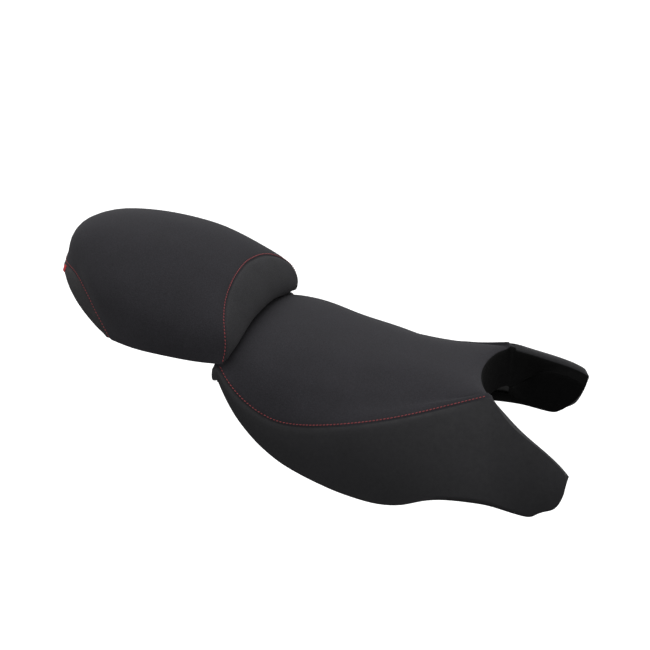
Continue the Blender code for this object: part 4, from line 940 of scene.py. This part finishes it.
def build_rider():
    """The rider seat's covers, inner wall and stitching."""
    layers = Rider()
    layers.folds()
    top, side = swollen_rider(layers)
    side = round_noses(side)
    body = BODY * 2
    seam = len(top) - 1
    top_rows = places(seam, FINE // 2, (0, seam))
    top_fine = refine(top, top_rows, places(body, FINE // 2))
    columns = places(side.shape[1] - 1, FINE // 2)
    rows = places(len(side) - 1, FINE // 2, (0,))
    side_fine = refine(side, rows, columns)
    at_body = body * FINE // 2
    # The seam's groove ends where the seam meets the rim of the tank cut-out.
    fade = np.clip((at_body - np.arange(side_fine.shape[1])) / GROOVE_FADE, 0.0, 1.0)
    last_row = len(top_fine) - 1
    shared = unit(grid_normals(top_fine)[-1] + grid_normals(side_fine)[0, :at_body + 1])
    rim_normals = grid_normals(side_fine)[0].copy()
    rim_normals[:at_body + 1] = shared
    top_fine = seamed(top_fine, 0, (0, last_row), (0, last_row), 3,
                      {0: shared * FLIP_Y, last_row: shared}, fade[None, :at_body + 1])
    side_fine = seamed(side_fine, 0, (0,), (0,), 11, {0: rim_normals}, fade[None])
    side_fine[0, :at_body + 1] = top_fine[-1]
    row_at = rows / 2
    column_at = columns / 2
    horn_at = column_at[at_body:] - BODY

    # The rim's roll belongs to the covers, and the wall below it is a near-black panel, darker
    # than the side vinyl: painted shade of the recess inside the tank cut-out.
    edge = np.concatenate([side_fine[0, :at_body:-1] * FLIP_Y, top_fine[:, -1],
                           side_fine[0, at_body + 1:]], axis=0)
    loops = rim_loops(layers, edge, top_rows / 2, horn_at)
    for _ in range(RIM_SMOOTHING):
        loops[1:, 1:-1] += (loops[1:, :-2] + loops[1:, 2:] - 2 * loops[1:, 1:-1]) * 0.25
    loops = round_rim_ends(loops)
    layers.nose += unit(side[::2, -1] - side[::2, -2]) * 0.35 * NOSE_BULGE
    section = knotted(loops, steps(len(loops) - 1, RIM_LINES))
    roll = section[:ROLL_LINES + 1]
    horn_roll = section[:HORN_ROLL_LINES + 1]
    horn_count = len(horn_at) - 1

    def across(half):
        return knotted(mirrored(half), top_rows / 2)

    net = Net()
    net.patch(top_fine)
    net.patch(roll[:, horn_count:-horn_count].transpose(1, 0, 2))
    rear = [top_fine[:, 0], *[across(line) for line in (
        *layers.rear_top, layers.top_lining[:, 0], layers.top_lining[:, 1])]]
    net.patch(rounded(np.stack(rear, axis=1)), flip=True)
    cover = add_panel("rider_cover_top_skin", net, SUEDE, "rider_seat")
    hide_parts("rider_cover_top", "rider_foam")

    inner = Net()
    inner.patch(section[ROLL_LINES:, horn_count:-horn_count].transpose(1, 0, 2))
    inner.patch(section[HORN_ROLL_LINES:, :horn_count + 1].transpose(1, 0, 2))
    inner.patch(section[HORN_ROLL_LINES:, -horn_count - 1:].transpose(1, 0, 2))
    lip = [across(layers.top_lining[:, column]) for column in (-1, -2)]
    inner.patch(np.stack(lip, axis=1))
    for name, flip in (("left", False), ("right", True)):
        sign = FLIP_Y if flip else 1.0
        net = Net()

        def patch(into, grid, turned=False):
            into.patch(grid * sign, flip=turned != flip)

        patch(net, side_fine)
        low = [side_fine[-1], knotted(layers.side_lining[-1], column_at),
               knotted(layers.side_lining[-2], column_at)]
        fold = rounded(np.stack(low, axis=1)).transpose(1, 0, 2)
        patch(net, fold[:, :at_body - SIDE_FOLD_BACK + 1])
        patch(inner, fold[:, at_body - SIDE_FOLD_BACK:])
        back = [side_fine[:, 0], *[knotted(c, row_at) for c in (
            *layers.rear_side, layers.side_lining[:, 0], layers.side_lining[:, 1])]]
        patch(net, rounded(np.stack(back, axis=1)), True)
        if flip:
            patch(net, horn_roll[:, horn_count::-1] * FLIP_Y, True)
        else:
            patch(net, horn_roll[:, -horn_count - 1:], True)
        tip = np.stack([side_fine[:, -1], knotted(layers.nose, row_at),
                        knotted(layers.side_lining[:, -1], row_at)], axis=0)
        tip = knotted(tip, steps(2, len(section) - 1))
        down = (1 - row_at / row_at[-1])[None, :, None] ** 3
        tip = tip + (section[:, -1] - tip[:, 0])[:, None] * down
        patch(net, tip.transpose(1, 0, 2))
        cover = add_panel(f"rider_cover_side_{name}_skin", net, VINYL, "rider_seat")
        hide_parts(f"rider_cover_side_{name}")
        face = knotted(layers.side_lining[:, BODY:], steps(SIDE_ROWS, SIDE_ROWS * 3))
        face = knotted(face.transpose(1, 0, 2), horn_at).transpose(1, 0, 2)
        patch(inner, face, True)
    add_panel("rider_inner_wall", inner, SHADE_LINING, "rider_seat")

    for name, at, toward in (("left", last_row, 0), ("right", 0, last_row)):
        line, up = line_at(top_fine, 0, at, toward, STITCH_FROM_SEAM)
        made = stitches(f"rider_stitching_{name}_thread", line, up, "rider_seat", THREAD)
        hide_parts(f"rider_stitching_{name}")


def rounded(grid, fine=3):
    """Finer lines along a fold's cross-section, which is the grid's second axis."""
    last = grid.shape[1] - 1
    return knotted(grid.transpose(1, 0, 2), steps(last, last * fine)).transpose(1, 0, 2)


# ---- the passenger seat
def fuller_tail(skin):
    """Rounds the tail: fuller above the rear seam, tucked in below it."""
    middle = (len(skin) - 1) / 2
    for row in range(len(skin)):
        near = 1 - (abs(row - middle) / middle) ** 3
        skin[row, :, 2] += EDGE_RISE * (abs(row - middle) / middle) ** 6
        for column in range(skin.shape[1]):
            above = math.exp(-((column - 8.5) / 3.2) ** 2)
            below = math.exp(-((column - 0.0) / 3.0) ** 2)
            skin[row, column] += np.array((-0.80, 0.0, 0.55)) * TAIL_RISE * near * above
            skin[row, column] += np.array((0.95, 0.0, 0.0)) * TAIL_TUCK * near * below
    return skin


def refine_row(skin, row, columns):
    """Points of one row at places along it, on nearly the same knots as the whole skin."""
    line = knotted(skin, [row])[0]
    doubled = np.stack([line, line], axis=1)
    return knotted(np.concatenate([doubled, skin.transpose(1, 0, 2)], axis=1), columns)[:, 0]


def build_passenger():
    """The passenger seat's covers and stitching; returns its skin and the rear seam's column."""
    layers = Passenger()
    skin = double(mirrored(layers.skin))
    base = mirrored(layers.base)
    rear, front = layers.rear * 2, layers.front * 2
    pins = [skin[0], skin[-1], skin[:, 0], skin[:, -1], skin[:, rear], skin[:, front]]
    moved = swell("passenger_cloth", [skin], [base], pins, SWELL_CAP)[0]
    skin = skin + (moved + moved[::-1] * FLIP_Y) / 2
    rows = places(len(skin) - 1, FINE // 2)
    columns = places(skin.shape[1] - 1, FINE // 2, (rear, front))
    skin = fuller_tail(skin)
    end = skin.shape[1] - 1.0
    fine = []
    for row in rows:
        away = abs(row / (len(skin) - 1) * 2 - 1)
        new_rear = rear - REAR_SEAM_DROP * (1 - away)
        new_front = front + FRONT_SEAM_SHIFT[0] + FRONT_SEAM_SHIFT[1] * away ** 6
        shifted = np.interp(columns, (0.0, rear, front, end), (0.0, new_rear, new_front, end))
        fine.append(refine_row(skin, row, shifted))
    fine = np.array(fine)
    rear_at = int(np.argmin(np.abs(columns - rear)))
    front_at = int(np.argmin(np.abs(columns - front)))
    fine = seamed(fine, 1, (rear_at, front_at), (rear_at, front_at), 7)
    last = fine.shape[1] - 1
    row_at = rows / 2
    column_at = columns / 2
    lining = mirrored(layers.lining)
    low_left, low_right = [
        rounded(np.stack([fine[edge], knotted(lining[edge], column_at),
                          knotted(lining[beside], column_at)], axis=1)).transpose(1, 0, 2)
        for edge, beside in ((-1, -2), (0, 1))]
    # The passenger seat's front panel takes the brighter suede copy: painted light.
    for name, first, end, look, slot in (("rear", 0, rear_at, REAR_VINYL, "black_vinyl"),
                                         ("top", rear_at, front_at, SUEDE, "charcoal_suede"),
                                         ("front", front_at, last, LIT_FRONT_SUEDE, "charcoal_suede")):
        net = Net()
        net.patch(fine[:, first:end + 1])
        net.patch(low_left[:, first:end + 1])
        net.patch(low_right[:, first:end + 1], flip=True)
        if first == 0:
            fold = [fine[:, 0], knotted(lining[:, 0], row_at), knotted(lining[:, 1], row_at)]
            net.patch(rounded(np.stack(fold, axis=1)), flip=True)
        if end == last:
            fold = [fine[:, -1], knotted(lining[:, -1], row_at), knotted(lining[:, -2], row_at)]
            net.patch(rounded(np.stack(fold, axis=1)))
        cover = add_panel(f"passenger_cover_{name}_skin", net, look, "passenger_seat")
        if name == "top":
            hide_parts("passenger_cover_top", "passenger_foam")
        else:
            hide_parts(f"passenger_cover_{name}")
    for name, at, toward in (("rear", rear_at, last), ("front", front_at, 0)):
        line, up = line_at(fine, 1, at, toward, STITCH_FROM_SEAM)
        made = stitches(f"passenger_stitching_{name}_thread", line, up, "passenger_seat", THREAD)
        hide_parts(f"passenger_stitching_{name}")
    return fine, rear_at


def build_tag(fine, rear_at):
    """A plain folded tape sewn into the rear seam, on the right."""
    line, normals = line_at(fine, 1, rear_at, 0, TAG_BELOW)
    row = int(round((len(fine) - 1) / 2 * (1 - TAG_SHARE)))
    middle, out = line[row], normals[row]
    along = unit(line[row + 1] - line[row - 1])
    up = np.cross(out, along)
    up = up if up[2] > 0 else -up
    half = TAG_HEIGHT / 2
    profile = [(half, 0.0010)]
    for angle in steps(math.pi, 12):
        profile.append((-half - 0.0004 * math.sin(angle), 0.0006 + 0.0004 * math.cos(angle)))
    profile.append((half, 0.0002))
    grid = []
    for share in steps(1, TAG_CELLS):
        bow = 0.0005 * math.cos((share - 0.5) * math.pi)
        centre = middle + along * (share - 0.5) * TAG_WIDTH
        grid.append([centre + up * a + out * (b + bow - 0.0012) for a, b in profile])
    net = Net()
    net.patch(np.array(grid))
    made = add_object("passenger_tag_tape", net.mesh("passenger_tag_tape"), LABEL,
                      "passenger_seat")
    solid = made.modifiers.new("thickness", "SOLIDIFY")
    solid.thickness = TAG_THICKNESS
    solid.offset = 0.0
    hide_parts("passenger_tag")


build_rider()
passenger_skin, rear_line = build_passenger()
build_tag(passenger_skin, rear_line)

for name, node in NODES.items():
    if node.hide_render:
        continue
    if name.endswith("_pan"):
        look = PLASTIC
    elif "bumper" in name:
        look = RUBBER
    else:
        look = STEEL
    for slot in node.material_slots:
        slot.material = look
    if not node.material_slots:
        node.data.materials.append(look)


# ---- floor and light
FLOOR = -0.75
FLOOR_REACH = 60.0
SKY = [(0.30, grey(0.26)), (0.465, grey(0.30)), (0.485, grey(1.0)), (0.66, grey(1.0)),
       (0.80, grey(0.75))]      # brightness from straight down, 0, to straight up, 1
SUN_ENERGY = 2.1
SUN_ANGLE = math.radians(70)
SUN_TOWARDS = Vector((0.12, -0.22, -1.0))

net = Net()
net.patch(np.array([[(x, y, FLOOR) for x in (-FLOOR_REACH, FLOOR_REACH)]
                    for y in (-FLOOR_REACH, FLOOR_REACH)]))
floor_look = Look("pale_floor", 0.9, 0.1)
floor_look.colour(floor_look.greys(floor_look.noise(2.0), 0.3, 0.7, 0.93, 0.96))
floor = add_object("floor", net.mesh("floor"), floor_look.material)
floor.visible_diffuse = False       # the white floor throws no light up under the seat
floor.visible_glossy = False

world = bpy.data.worlds.new("studio")
world.use_nodes = True
tree = world.node_tree
sky = tree.nodes.new("ShaderNodeTexCoord")
split = tree.nodes.new("ShaderNodeSeparateXYZ")
heights = tree.nodes.new("ShaderNodeValToRGB")
tree.links.new(sky.outputs["Generated"], split.inputs["Vector"])
shift = tree.nodes.new("ShaderNodeMapRange")
shift.inputs["From Min"].default_value = -1.0
tree.links.new(split.outputs["Z"], shift.inputs["Value"])
tree.links.new(shift.outputs["Result"], heights.inputs["Fac"])
set_stops(heights.color_ramp, SKY)
tree.links.new(heights.outputs["Color"], tree.nodes["Background"].inputs["Color"])
tree.nodes["Background"].inputs["Strength"].default_value = 1.0
bpy.context.scene.world = world
bpy.context.scene.view_settings.view_transform = "Standard"
sun = bpy.data.objects.new("softbox", bpy.data.lights.new("softbox", "SUN"))
bpy.context.scene.collection.objects.link(sun)
sun.data.energy = SUN_ENERGY
sun.data.angle = SUN_ANGLE
sun.rotation_euler = SUN_TOWARDS.to_track_quat("-Z", "Y").to_euler()
